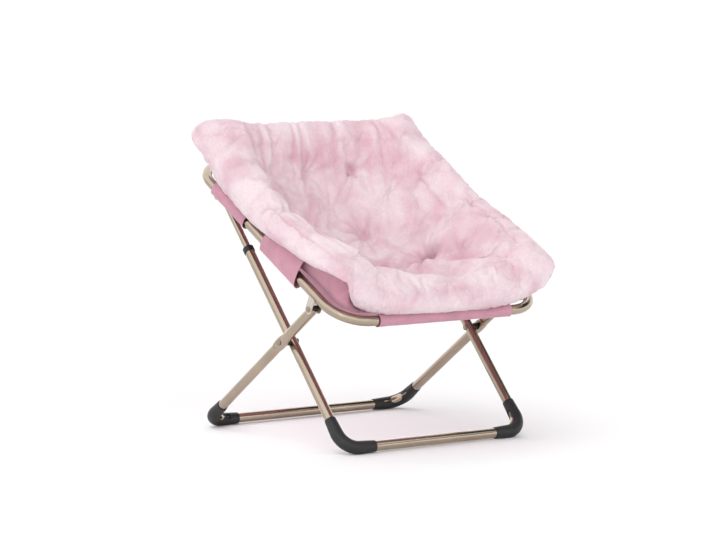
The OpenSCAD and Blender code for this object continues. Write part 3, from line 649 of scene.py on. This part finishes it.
# Pinches in the border roll, as (x, along, height, depth share, spread, pleats)
PINCHES = [
    (281, 352, 104, 0.6, 13, 7), (-281, 352, 104, 0.6, 13, 7),
    (-309, 677, 137, 0.45, 11, 6), (309, 677, 137, 0.45, 11, 6),
    (-202, -6, 96, 0.5, 12, 7), (202, -6, 96, 0.5, 12, 7),
    (-285, 640, 150, 0.5, 12, 6), (-270, 560, 128, 0.3, 14, 6),
    (275, 174, 125, 0.35, 12, 6), (0, 25, 97, 0.25, 14, 6),
]


def mirrored(line):
    return [(-x, s) for x, s in line]


BACK_WING = [(186, 690), (192, 632), (200, 593), (200, 521), (194, 474), (180, 434), (166, 384), (165, 318)]
SEAT_WING = [(165, 318), (181, 269), (192, 226), (188, 124), (196, 40)]
# Creases between seat, back and wings and from tuft to tuft, as (points, depth share, half width)
CREASES = [
    ([(-165, 318), (-100, 334), (0, 342), (100, 334), (165, 318)], 1.0, 11),
    (BACK_WING, 0.42, 14), (mirrored(BACK_WING), 0.42, 14),
    (SEAT_WING, 0.6, 10), (mirrored(SEAT_WING), 0.6, 10),
    ([(-196, 40), (-100, 46), (0, 48), (100, 46), (196, 40)], 0.45, 9),
    ([(-60, 690), (-45, 618)], 0.3, 8), ([(66, 676), (92, 618)], 0.35, 8), ([(140, 680), (92, 618)], 0.3, 7),
    ([(92, 618), (72, 474)], 0.22, 9), ([(-45, 618), (-78, 478)], 0.22, 9),
    ([(-78, 478), (-160, 322)], 0.2, 10), ([(72, 474), (160, 322)], 0.25, 10),
    ([(-120, 690), (-160, 600)], 0.35, 8),
]
# Each of the creases wanders by this much, fades out over a share of the mesh past the dish, swells beside
# its groove, and is darkened with painted shade over a share of its width and its depth
CREASE_WANDER = 5
CREASE_PAST = 0.05
CREASE_FADE = 0.08
SWELL_SHARE = 0.32
SWELL_AT = 2.6
SWELL_WIDE = 1.3
SHADE_WIDE = 0.7
SHADE_SHARE = 0.9
# A tuft is a hollow with a pit in it, as shares of its depth and its spread
HOLLOW_SHARE = 0.85
HOLLOW_WIDE = 1.2
PIT_SHARE = 0.2
PIT_WIDE = 0.4
# Pleats run out from a tuft, with a height, and a place and a width as shares of its spread
PLEAT_HEIGHT = 3.4
PLEAT_AT = 1.5
PLEAT_WIDE = 1.2
# Folds down from the back's top edge
FOLD_DEPTH = 2.4
FOLD_PITCH = 52
FOLD_DRIFT = 7
FOLD_AT_ROWS = 0.58
FOLD_ROWS = 0.1
FOLD_HALF_W = 240
# Two seams along the shoulder of each side roll, at these degrees round it
SEAM_ANGLES = (62, 118)
SEAM_DEPTH = 4.2
SEAM_DEGREES = 4.5
SEAM_FROM = 90
SEAM_TO = 395
SEAM_FADE = 40
# Widths of the plush's loose unevenness
WOBBLE_WIDE = 46
PATCH_WIDE = 60
DRIFT_WIDE = 70
WRINKLE_WIDE = 70
FINE_WRINKLE_WIDE = 26
CLUMP_WIDE = 8


class PlushRelief:
    """How far each point of the plush is pressed in, in millimetres, and how dark its painted shade in
    creases is.
    """

    def __init__(self, x, s, n, r):
        self.x, self.s, self.n, self.r = x, s, n, r
        self.points = np.stack([x, s, n], 1)
        self.wobble = rolling_noise(self.points, WOBBLE_WIDE, 1)
        self.inward = np.zeros(len(x))
        # painted shade in the creases, tufts, folds and seams
        self.tint = np.zeros(len(x))

    def shade(self, strength):
        """Raises the painted shade in the creases to a strength where it is weaker."""
        self.tint = np.maximum(self.tint, strength)

    def creases(self, depth):
        """Presses in the grooves, swells the plush beside them and paints shade into them in patches."""
        in_dish = np.clip((DISH_ROWS + CREASE_PAST - self.r) / CREASE_FADE, 0, 1)
        patchy = np.clip(0.55 + 0.9 * rolling_noise(self.points, PATCH_WIDE, 9), 0, 1)
        wander = CREASE_WANDER * self.wobble
        for line, share, width in CREASES:
            d = line_distance(self.x + wander, self.s + wander, line)
            groove = bump_curve(d / width) * share
            self.inward += depth * groove * in_dish
            # painted shade along the groove, in patches
            self.shade(bump_curve(d / (width * SHADE_WIDE)) * min(1, share * SHADE_SHARE) * patchy * in_dish)
            swell = bump_curve((d - SWELL_AT * width) / (SWELL_WIDE * width))
            self.inward -= SWELL_SHARE * depth * share * swell * in_dish

    def tufts(self, depth):
        """Presses in the sewn tufts and the roll's pinches, each with uneven pleats round it."""
        on_dish = self.r <= DISH_ROWS
        spots = [(px, ps, None, *rest) for px, ps, *rest in TUFTS] + PINCHES
        for k, (px, ps, pn, share, spread, pleats) in enumerate(spots):
            if pn is None:
                near = np.argmin(np.hypot(self.x - px, self.s - ps) + np.where(on_dish, 0, np.inf))
                pn = self.n[near]
            d = np.sqrt((self.x - px) ** 2 + (self.s - ps) ** 2 + (self.n - pn) ** 2)
            hollow = HOLLOW_SHARE * bump_curve(d / (HOLLOW_WIDE * spread))
            self.inward += depth * share * (hollow + PIT_SHARE * bump_curve(d / (spread * PIT_WIDE)))
            # the tuft's number k shifts the phases, so that no two tufts have the same rays
            turn = np.arctan2(self.s - ps, self.x - px)
            bend = pleats * turn + 1.6 * np.sin(turn + 2.3 * k) + 1.1 * np.sin(2 * turn - k)
            ray = np.cos(bend + 1.5 * self.wobble) * (0.65 + 0.35 * np.sin(turn + 1.3 * k))
            ring = bump_curve((d - PLEAT_AT * spread) / (PLEAT_WIDE * spread))
            self.inward += PLEAT_HEIGHT * share * ray * ring
            # painted shade in the tuft's hollow and in the valleys between its pleats
            self.shade(0.55 * share * bump_curve(d / (spread * 0.45)))
            self.shade(0.42 * share * np.clip(ray, 0, 1) * bump_curve((d - 1.4 * spread) / spread))

    def folds(self):
        """Presses in the folds that run down from the back's top edge."""
        drift = rolling_noise(np.stack([self.x, self.s * 0.3, self.n * 0], 1), DRIFT_WIDE, 6)
        near_edge = bump_curve((self.r - FOLD_AT_ROWS) / FOLD_ROWS)
        folds = np.sin(2 * np.pi * self.x / FOLD_PITCH + FOLD_DRIFT * drift) * near_edge
        folds = folds * (self.s > RIM_LEN / 2) * (np.abs(self.x) < FOLD_HALF_W)
        self.inward += FOLD_DEPTH * folds
        # painted shade in the valleys of the folds
        self.shade(0.3 * np.clip(folds, 0, 1))

    def seams(self, qx, phi):
        """Presses in the seams along the shoulders of the side rolls."""
        fade_in = np.clip((self.s - SEAM_FROM) / SEAM_FADE, 0, 1)
        fade_out = np.clip((SEAM_TO - self.s) / SEAM_FADE, 0, 1)
        on_side = fade_in * fade_out * (np.abs(qx) > ON_A_SIDE) * (self.r > DISH_ROWS)
        for angle in SEAM_ANGLES:
            seam = bump_curve((np.degrees(phi) - angle + 5 * self.wobble) / SEAM_DEGREES) * on_side
            self.inward += SEAM_DEPTH * seam
            # painted shade along the seams
            self.shade(0.5 * seam * np.clip(0.5 + self.wobble, 0, 1))

    def wrinkles(self, plushy, height):
        """Presses in loose wrinkles, which run a little along the rim."""
        coarse = rolling_noise(self.points * [1.0, 0.7, 1.0], WRINKLE_WIDE, 2)
        fine = rolling_noise(self.points * [1.0, 0.6, 1.0], FINE_WRINKLE_WIDE, 3)
        self.inward += plushy * height * (0.7 * coarse + 0.3 * fine)


# The simulation holds a point as firmly as its painted shade in the creases times this, and the roll by a
# share that grows outwards, and it holds the plush's edge wholly
HELD_BY_SHADE = 1.6
ROLL_HOLD = 0.6
ROLL_HOLD_FROM = 0.68
ROLL_HOLD_ROWS = 0.14
LAST_ROWS = 0.02
LEAST_HOLD = 0.02
SWELL_STEPS = 20


def hold(tint, r):
    """How firmly the simulation holds each point, from 0 to 1."""
    roll = ROLL_HOLD * np.clip((r - ROLL_HOLD_FROM) / ROLL_HOLD_ROWS, 0, 1)
    held = np.maximum(np.clip(HELD_BY_SHADE * tint, 0, 1), roll)
    held[r > PLUSH_ROWS - LAST_ROWS] = 1.0
    return held


def inflate(bm, points, held, size):
    """Swells the plush by cloth simulation with its tufts, creases and edge held, and returns its points."""
    mesh = bpy.data.meshes.new("plush_cloth")
    bm.to_mesh(mesh)
    mesh.vertices.foreach_set("co", (points * MM).ravel())
    mesh.update()
    plush = bpy.data.objects.new("plush_cloth", mesh)
    scene = bpy.context.scene
    scene.collection.objects.link(plush)
    group = plush.vertex_groups.new(name="held")
    for index, weight in enumerate(held):
        if weight > LEAST_HOLD:
            group.add([index], float(weight), "REPLACE")
    swell = plush.modifiers.new("swell", "CLOTH")
    how = swell.settings
    how.quality = 4
    how.mass = 0.3
    how.tension_stiffness = 12
    how.compression_stiffness = 12
    how.shear_stiffness = 8
    how.bending_stiffness = size.stiffness
    how.shrink_min = -size.slack
    how.use_pressure = True
    how.uniform_pressure_force = size.pressure
    how.effector_weights.gravity = 0
    how.vertex_group_mass = "held"
    swell.collision_settings.use_collision = False
    swell.point_cache.frame_start = 1
    swell.point_cache.frame_end = SWELL_STEPS
    for step in range(1, SWELL_STEPS + 1):
        scene.frame_set(step)
    shape = plush.evaluated_get(bpy.context.evaluated_depsgraph_get()).data
    moved = np.empty(len(points) * 3)
    shape.vertices.foreach_get("co", moved)
    moved = moved.reshape(-1, 3) / MM - points
    scene.frame_set(1)
    bpy.data.objects.remove(plush)
    bpy.data.meshes.remove(mesh)
    far = np.linalg.norm(moved, axis=1)
    cap = np.minimum(1, size.swell_cap / np.maximum(far, TINY))
    return points + moved * cap[:, None]


def write_painted_shade(bm, tint):
    """Stores the painted shade in the creases of the upper side's points, which come first, for the plush's
    material.
    """
    layer = bm.verts.layers.float.new("crease")
    for v, value in zip(bm.verts, tint):
        v[layer] = float(value)


def dress_band(bm, r, rows):
    """Gives the band and the underside the woven material, with its threads along the rim."""
    weave = bm.loops.layers.uv.verify()
    for face in bm.faces:
        for loop in face.loops:
            loop[weave].uv = loop.vert.co.xy * (MM * UV_PER_METRE)
    bm.verts.index_update()
    band = PLUSH_ROWS - 0.5 / rows
    for face in bm.faces:
        if all(v.index >= len(r) or r[v.index] >= band for v in face.verts):
            face.material_index = 1


class SAUCER_OT_cushion(bpy.types.Operator):
    """Builds the tufted plush dish cushion with its border roll"""

    bl_idname = "saucer.cushion"
    bl_label = "Dish cushion"

    def execute(self, context):
        size = context.scene.saucer_cushion
        bm = bmesh.new()
        bmesh.ops.create_grid(bm, x_segments=size.rows, y_segments=size.rows, size=1.0)
        r, qx, qy = grid_rays(bm)
        x, s, n, phi = cushion_form(r, qx, qy, size)
        plushy = (r <= PLUSH_ROWS).astype(float)

        relief = PlushRelief(x, s, n, r)
        relief.creases(size.crease_depth)
        relief.tufts(size.tuft_depth)
        relief.folds()
        relief.seams(qx, phi)
        relief.wrinkles(plushy, size.wrinkle)

        # the relief presses the plush in along its own normal
        lay_out(bm, relief.points)
        bm.normal_update()
        normals = np.array([v.normal[:] for v in bm.verts])
        if normals[:, 2].mean() < 0:
            normals = -normals
        points = relief.points - normals * relief.inward[:, None]
        points = inflate(bm, points, hold(relief.tint, r), size)
        clump = rolling_noise(points, CLUMP_WIDE, 4)
        points = points - normals * (plushy * size.pile * clump)[:, None]
        lay_out(bm, points)

        close_underside(bm, size, context.scene.saucer_cloth)
        write_painted_shade(bm, relief.tint)
        dress_band(bm, r, size.rows)
        bm.transform(RIM)
        cushion = finish_piece(bm, "dish_cushion", ["plush", "woven"])
        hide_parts("seat_cushion")
        return {"FINISHED"}


# Woven cloth

TRAY_ROWS = 90
# The tray hangs in a bowl up to this share of the way out, with its middle surface inside its outer size,
# and then runs up to the rim
TRAY_BOWL = 0.8
TRAY_INSET = 1.5
TRAY_EDGE_HALF_W = 287
TRAY_EDGE_UP = 14.5
TRAY_PUSH_FRONT = 2.0
TRAY_PUSH_REAR = 1.0
TRAY_TO_BARS = (33, 48)
# The weave is laid out on a cloth of this size
TRAY_CUT = (620, 740)
# The slack between the tight corners ripples, and sinks the cloth a little
RIPPLE_WIDE = 60
TRAY_SINK = 0.6


def cloth_grid(columns, rows):
    """A flat grid of 2 by 2 with a UV map of 1 by 1, ready to be laid out."""
    bm = bmesh.new()
    bmesh.ops.create_grid(bm, x_segments=columns, y_segments=rows, size=1.0, calc_uvs=True)
    return bm


def thicken(piece, thickness):
    """Gives a cloth its thickness about its middle."""
    solid = piece.modifiers.new("cloth_thickness", "SOLIDIFY")
    solid.thickness = thickness * MM
    solid.offset = 0


def scale_uvs(bm, width, length):
    """Makes a cloth's UV map follow its size in millimetres, so that a thread has one size on every cloth."""
    layer = bm.loops.layers.uv.verify()
    for face in bm.faces:
        for loop in face.loops:
            u = loop[layer].uv
            loop[layer].uv = (u[0] * width * MM * UV_PER_METRE, u[1] * length * MM * UV_PER_METRE)


class SAUCER_OT_tray(bpy.types.Operator):
    """Builds the woven cloth that hangs from the rim under the cushion"""

    bl_idname = "saucer.tray"
    bl_label = "Hanging cloth"

    def execute(self, context):
        size, cloth = context.scene.saucer_cushion, context.scene.saucer_cloth
        bm = cloth_grid(TRAY_ROWS, TRAY_ROWS)
        scale_uvs(bm, *TRAY_CUT)
        r, qx, qy = grid_rays(bm)
        t = np.clip(r / TRAY_BOWL, 0, 1)
        edge = np.clip((r - TRAY_BOWL) / (1 - TRAY_BOWL), 0, 1)
        depth = cloth.tray_depth - SHOULDER - TRAY_INSET
        hang = -SHOULDER - depth * np.sqrt(np.maximum(0, 1 - t ** BOWL_POWER))
        n = hang * (1 - edge) + TRAY_EDGE_UP * edge
        w = (cloth.tray_half_width - TRAY_INSET) * t * (1 - edge) + TRAY_EDGE_HALF_W * edge
        push = np.where(qy < 0, TRAY_PUSH_FRONT, TRAY_PUSH_REAR) * edge
        x, s = plan(qx, qy, w / size.half_width, TRAY_POWER, push)
        s = s + edge * to_the_bars(outline(qx, qy, TRAY_POWER)[1], *TRAY_TO_BARS)
        points = np.stack([x, s, n], 1)
        ripple = rolling_noise(points * [1.0, 0.5, 1.0], RIPPLE_WIDE, 7)
        points[:, 2] += ripple * (1 - t ** 6) - TRAY_SINK
        lay_out(bm, points)
        bm.transform(RIM)
        tray = finish_piece(bm, "hanging_cloth", ["woven"])
        thicken(tray, cloth.thickness)
        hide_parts("seat_tray")
        return {"FINISHED"}


# Section of a casing round the rim tube, in tube radii from the tube's middle, outwards and up
CASING_TIGHT = [(-0.55, 1.0), (-0.1, 1.2), (0.45, 1.1), (0.95, 0.72), (1.2, 0.1), (1.1, -0.5), (0.7, -0.98),
                (0.1, -1.2), (-0.5, -1.1), (-1.0, -0.7), (-1.25, -0.1)]
CASING_LOOSE = [(0.25, 2.0), (0.75, 1.5), (1.12, 0.8), (1.2, 0.0), (1.18, -0.8), (1.0, -1.5), (0.55, -1.95),
                (0.0, -1.98), (-0.55, -1.6), (-1.0, -0.95), (-1.16, -0.2)]
CASING_CLOSE = [(0.25, 1.5), (0.75, 1.25), (1.12, 0.7), (1.2, 0.0), (1.17, -0.55), (0.9, -1.0), (0.4, -1.25),
                (-0.2, -1.26), (-0.75, -1.0), (-1.08, -0.5), (-1.16, 0.0)]
CHAIN_STEPS = 12
CASING_COLUMNS = 60
CASING_ROWS = 32
# The radius of the plain solid that a casing replaces
CASING_R = 14.8
# A side casing starts this far over the plush's lower edge, out of sight
CASING_UNDER_PLUSH = 3
# The cloth puckers lightly, and its hems stand out
PUCKER_WIDE = 24
PUCKER = 0.5
HEM_WIDE = 6
HEM = 0.7


def smooth_chain(chain, count):
    """Evenly spaced points on a smooth curve through a chain of points, and the curve's length."""
    pts = np.array(chain, float)
    padded = np.vstack([2 * pts[0] - pts[1], pts, 2 * pts[-1] - pts[-2]])
    out = []
    for i in range(1, len(padded) - 2):
        p0, p1, p2, p3 = padded[i - 1:i + 3]
        for k in range(CHAIN_STEPS):
            t = k / CHAIN_STEPS
            out.append(0.5 * (2 * p1 + (p2 - p0) * t + (2 * p0 - 5 * p1 + 4 * p2 - p3) * t * t
                              + (3 * p1 - p0 - 3 * p2 + p3) * t ** 3))
    out.append(padded[-2])
    out = np.array(out)
    gone = np.concatenate([[0], np.cumsum(np.linalg.norm(np.diff(out, axis=0), axis=1))])
    want = np.linspace(0, gone[-1], count)
    return np.stack([np.interp(want, gone, out[:, 0]), np.interp(want, gone, out[:, 1])], 1), gone[-1]


def casing_run(node, side):
    """Where a casing starts and ends along its tube."""
    low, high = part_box(node)
    inverse = RIM.inverted()
    if not side:
        return (inverse @ low).x, (inverse @ high).x
    # the box of a slanted piece is wider than the piece, so its ends come from its middle
    mid = inverse @ ((low + high) / 2)
    length = ((high - low).y / MM - 2 * CASING_R * abs(RIM_ALONG.z)) / RIM_ALONG.y
    return mid.y - length / 2, mid.y + length / 2


def raise_to_plush(up, run):
    """Draws a side casing up to the plush's lower edge, which lifts towards the front."""
    size = bpy.context.scene.saucer_cushion
    along = (run - RIM_LEN / 2) / (RIM_LEN / 2)
    edge = roll_foot(np.ones(len(run)), along, size.foot_lift) + CASING_UNDER_PLUSH
    top = up.max()
    reach = np.clip(up / top, 0, 1)
    return np.where(up > 0, up + (edge - top) * reach ** 1.5, up)


def lay_casing(name, node, chain, side, seed):
    """One cloth casing wrapped round a stretch of the rim tube: side is -1, 1, or 0 on the two bars."""
    start, end = casing_run(node, side)
    section, around = smooth_chain(chain, CASING_ROWS + 1)
    bm = cloth_grid(CASING_COLUMNS, CASING_ROWS)
    scale_uvs(bm, end - start, around * TUBE_R)
    flat = np.array([v.co[:2] for v in bm.verts])
    u = (flat[:, 0] + 1) / 2
    k = np.rint((flat[:, 1] + 1) / 2 * CASING_ROWS).astype(int)
    out, up = section[k, 0] * TUBE_R, section[k, 1] * TUBE_R
    run = start + (end - start) * u
    if side:
        points = np.stack([side * (RIM_HALF_W + out), run, raise_to_plush(up, run)], 1)
        tube = points * (0, 1, 0) + (side * RIM_HALF_W, 0, 0)
    else:
        # outwards is towards the front on the front bar and towards the back on the rear bar
        at, outwards = (0, -1) if node == "sleeve_front" else (RIM_LEN, 1)
        points = np.stack([run, at + outwards * out, up], 1)
        tube = points * (1, 0, 0) + (0, at, 0)
    away = points - tube
    away /= np.linalg.norm(away, axis=1)[:, None]
    pucker = rolling_noise(points * [0.6, 0.6, 1.0], PUCKER_WIDE, seed)
    hem = 1 - np.clip(np.minimum(u, 1 - u) * (end - start) / HEM_WIDE, 0, 1)
    lay_out(bm, points + away * (PUCKER * pucker + HEM * hem)[:, None])
    bm.transform(RIM)
    cloth_area = sum(f.calc_area() for f in bm.faces)
    casing = finish_piece(bm, name, ["woven"])
    thicken(casing, bpy.context.scene.saucer_cloth.thickness)
    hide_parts(node)


class SAUCER_OT_casings(bpy.types.Operator):
    """Builds the cloth casings sewn round the rim tube"""

    bl_idname = "saucer.casings"
    bl_label = "Rim casings"

    def execute(self, context):
        lay_casing("casing_front", "sleeve_front", CASING_TIGHT, 0, 11)
        lay_casing("casing_rear", "sleeve_rear", CASING_TIGHT, 0, 12)
        for side, name in ((-1, "left"), (1, "right")):
            lay_casing(f"casing_{name}_front", f"sleeve_{name}_front", CASING_LOOSE, side, 13 + side)
            lay_casing(f"casing_{name}_rear", f"sleeve_{name}_rear", CASING_CLOSE, side, 17 + side)
        return {"FINISHED"}


# Metal and plastic

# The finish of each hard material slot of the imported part
FINISH_OF_SLOT = {
    "champagne_tube": "lacquer", "bracket_steel": "bracket", "rivet_steel": "rivet", "joiner_steel": "zinc",
    "black_plastic": "black", "guide_plastic": "acetal",
}


class SAUCER_OT_hardware(bpy.types.Operator):
    """Gives the tubes, brackets, pins and mouldings their finishes"""

    bl_idname = "saucer.hardware"
    bl_label = "Tubes and fittings"

    def execute(self, context):
        for part in frame["record"]["subparts"]:
            if part["material_slot"] in FINISH_OF_SLOT:
                materials = nodes[part["node"]].data.materials
                materials.clear()
                materials.append(finish(FINISH_OF_SLOT[part["material_slot"]]))
        return {"FINISHED"}


# Stage, in metres

FLOOR_R = 60.0
# Lights, as (name, place, width and height, the size that holds their power)
LIGHTS = (
    ("key_left", (-3.0, -2.4, 1.6), (0.3, 2.4), "key_power"),
    ("fill_front", (1.6, -2.8, 3.2), (2.4, 2.4), "fill_power"),
)
LIGHT_AIM = (0, 0, 0.4)
CAMERA_AT = (-4.109, -5.923, 1.122)
CAMERA_AIM = (0.0, 0.0603, 0.353)
CAMERA_SHIFT = (0.0009, 0.0287)
CAMERA_REACH = 200.0
SENSOR_WIDTH = 36.0
# The studio's dark end lies high on the right
DARK_END = Vector((0.51, -0.31, 0.8)).normalized()


def place_in_scene(name, data, at, aim):
    """Puts a light or a camera in the scene, turned to what it is aimed at."""
    thing = bpy.data.objects.new(name, data)
    thing.location = at
    thing.rotation_euler = (Vector(aim) - Vector(at)).to_track_quat("-Z", "Y").to_euler()
    bpy.context.scene.collection.objects.link(thing)
    return thing


def build_floor():
    bm = bmesh.new()
    bmesh.ops.create_circle(bm, cap_ends=True, segments=96, radius=FLOOR_R)
    mesh = bpy.data.meshes.new("floor")
    bm.to_mesh(mesh)
    bm.free()
    mesh.materials.append(finish("floor"))
    floor = bpy.data.objects.new("floor", mesh)
    bpy.context.scene.collection.objects.link(floor)


def build_studio(strength):
    """A white studio, dimmer to the left and dark high on the right, for the dark sides of the tubes."""
    world = bpy.data.worlds.new("soft_studio")
    bpy.context.scene.world = world
    world.use_nodes = True
    tree = world.node_tree
    tree.nodes.clear()
    place = add(tree, "ShaderNodeTexCoord")
    turned = add(tree, "ShaderNodeVectorMath", {0: (place, "Generated")}, {1: DARK_END},
                 operation="DOT_PRODUCT")
    side = span(tree, (turned, "Value"), -1.0, 1.0)
    light = ramp(tree, (side, "Result"),
                 (0.0, grey(0.22)), (0.42, grey(1.0)), (0.87, grey(1.0)), (0.92, grey(0.03)))
    back = add(tree, "ShaderNodeBackground", {"Color": (light, "Color")}, {"Strength": strength})
    add(tree, "ShaderNodeOutputWorld", {"Surface": (back, "Background")})


class SAUCER_OT_stage(bpy.types.Operator):
    """Builds the floor, the lights and the camera"""

    bl_idname = "saucer.stage"
    bl_label = "Stage"

    def execute(self, context):
        sizes = context.scene.saucer_stage
        build_floor()
        build_studio(sizes.sky)
        for name, at, size, power in LIGHTS:
            lamp = bpy.data.lights.new(name, "AREA")
            lamp.shape = "RECTANGLE"
            lamp.size, lamp.size_y = size
            lamp.energy = getattr(sizes, power)
            place_in_scene(name, lamp, at, LIGHT_AIM)
        camera = bpy.data.cameras.new("camera")
        camera.sensor_width = SENSOR_WIDTH
        camera.lens = sizes.lens
        camera.shift_x, camera.shift_y = CAMERA_SHIFT
        camera.clip_end = CAMERA_REACH
        context.scene.camera = place_in_scene("camera", camera, CAMERA_AT, CAMERA_AIM)
        # the photograph is high-key with a pure white ground, which the filmic view would turn grey
        context.scene.view_settings.view_transform = "Standard"
        return {"FINISHED"}


GROUPS = {
    "saucer_cushion": SaucerCushionSizes,
    "saucer_cloth": SaucerClothSizes,
    "saucer_colours": SaucerColours,
    "saucer_stage": SaucerStageSizes,
}
STEPS = [SAUCER_OT_stage, SAUCER_OT_hardware, SAUCER_OT_cushion, SAUCER_OT_tray, SAUCER_OT_casings]


class SAUCER_PT_panel(bpy.types.Panel):
    """Lists the chair's pieces, sizes and colours"""

    bl_idname = "SAUCER_PT_panel"
    bl_label = "Folding Saucer Chair"
    bl_space_type = "VIEW_3D"
    bl_region_type = "UI"
    bl_category = "Chair"

    def draw(self, context):
        layout = self.layout
        for operator in STEPS:
            layout.operator(operator.bl_idname)
        for group, sizes in GROUPS.items():
            box = layout.box()
            for key in sizes.__annotations__:
                box.prop(getattr(context.scene, group), key)


def register():
    for group in (*GROUPS.values(), *STEPS, SAUCER_PT_panel):
        bpy.utils.register_class(group)
    for name, group in GROUPS.items():
        setattr(bpy.types.Scene, name, bpy.props.PointerProperty(type=group))


def unregister():
    for name in GROUPS:
        delattr(bpy.types.Scene, name)
    for group in (SAUCER_PT_panel, *reversed(STEPS), *reversed(list(GROUPS.values()))):
        bpy.utils.unregister_class(group)


def main():
    register()
    bpy.ops.saucer.stage()
    bpy.ops.saucer.hardware()
    bpy.ops.saucer.cushion()
    bpy.ops.saucer.tray()
    bpy.ops.saucer.casings()


if __name__ == "__main__":
    main()
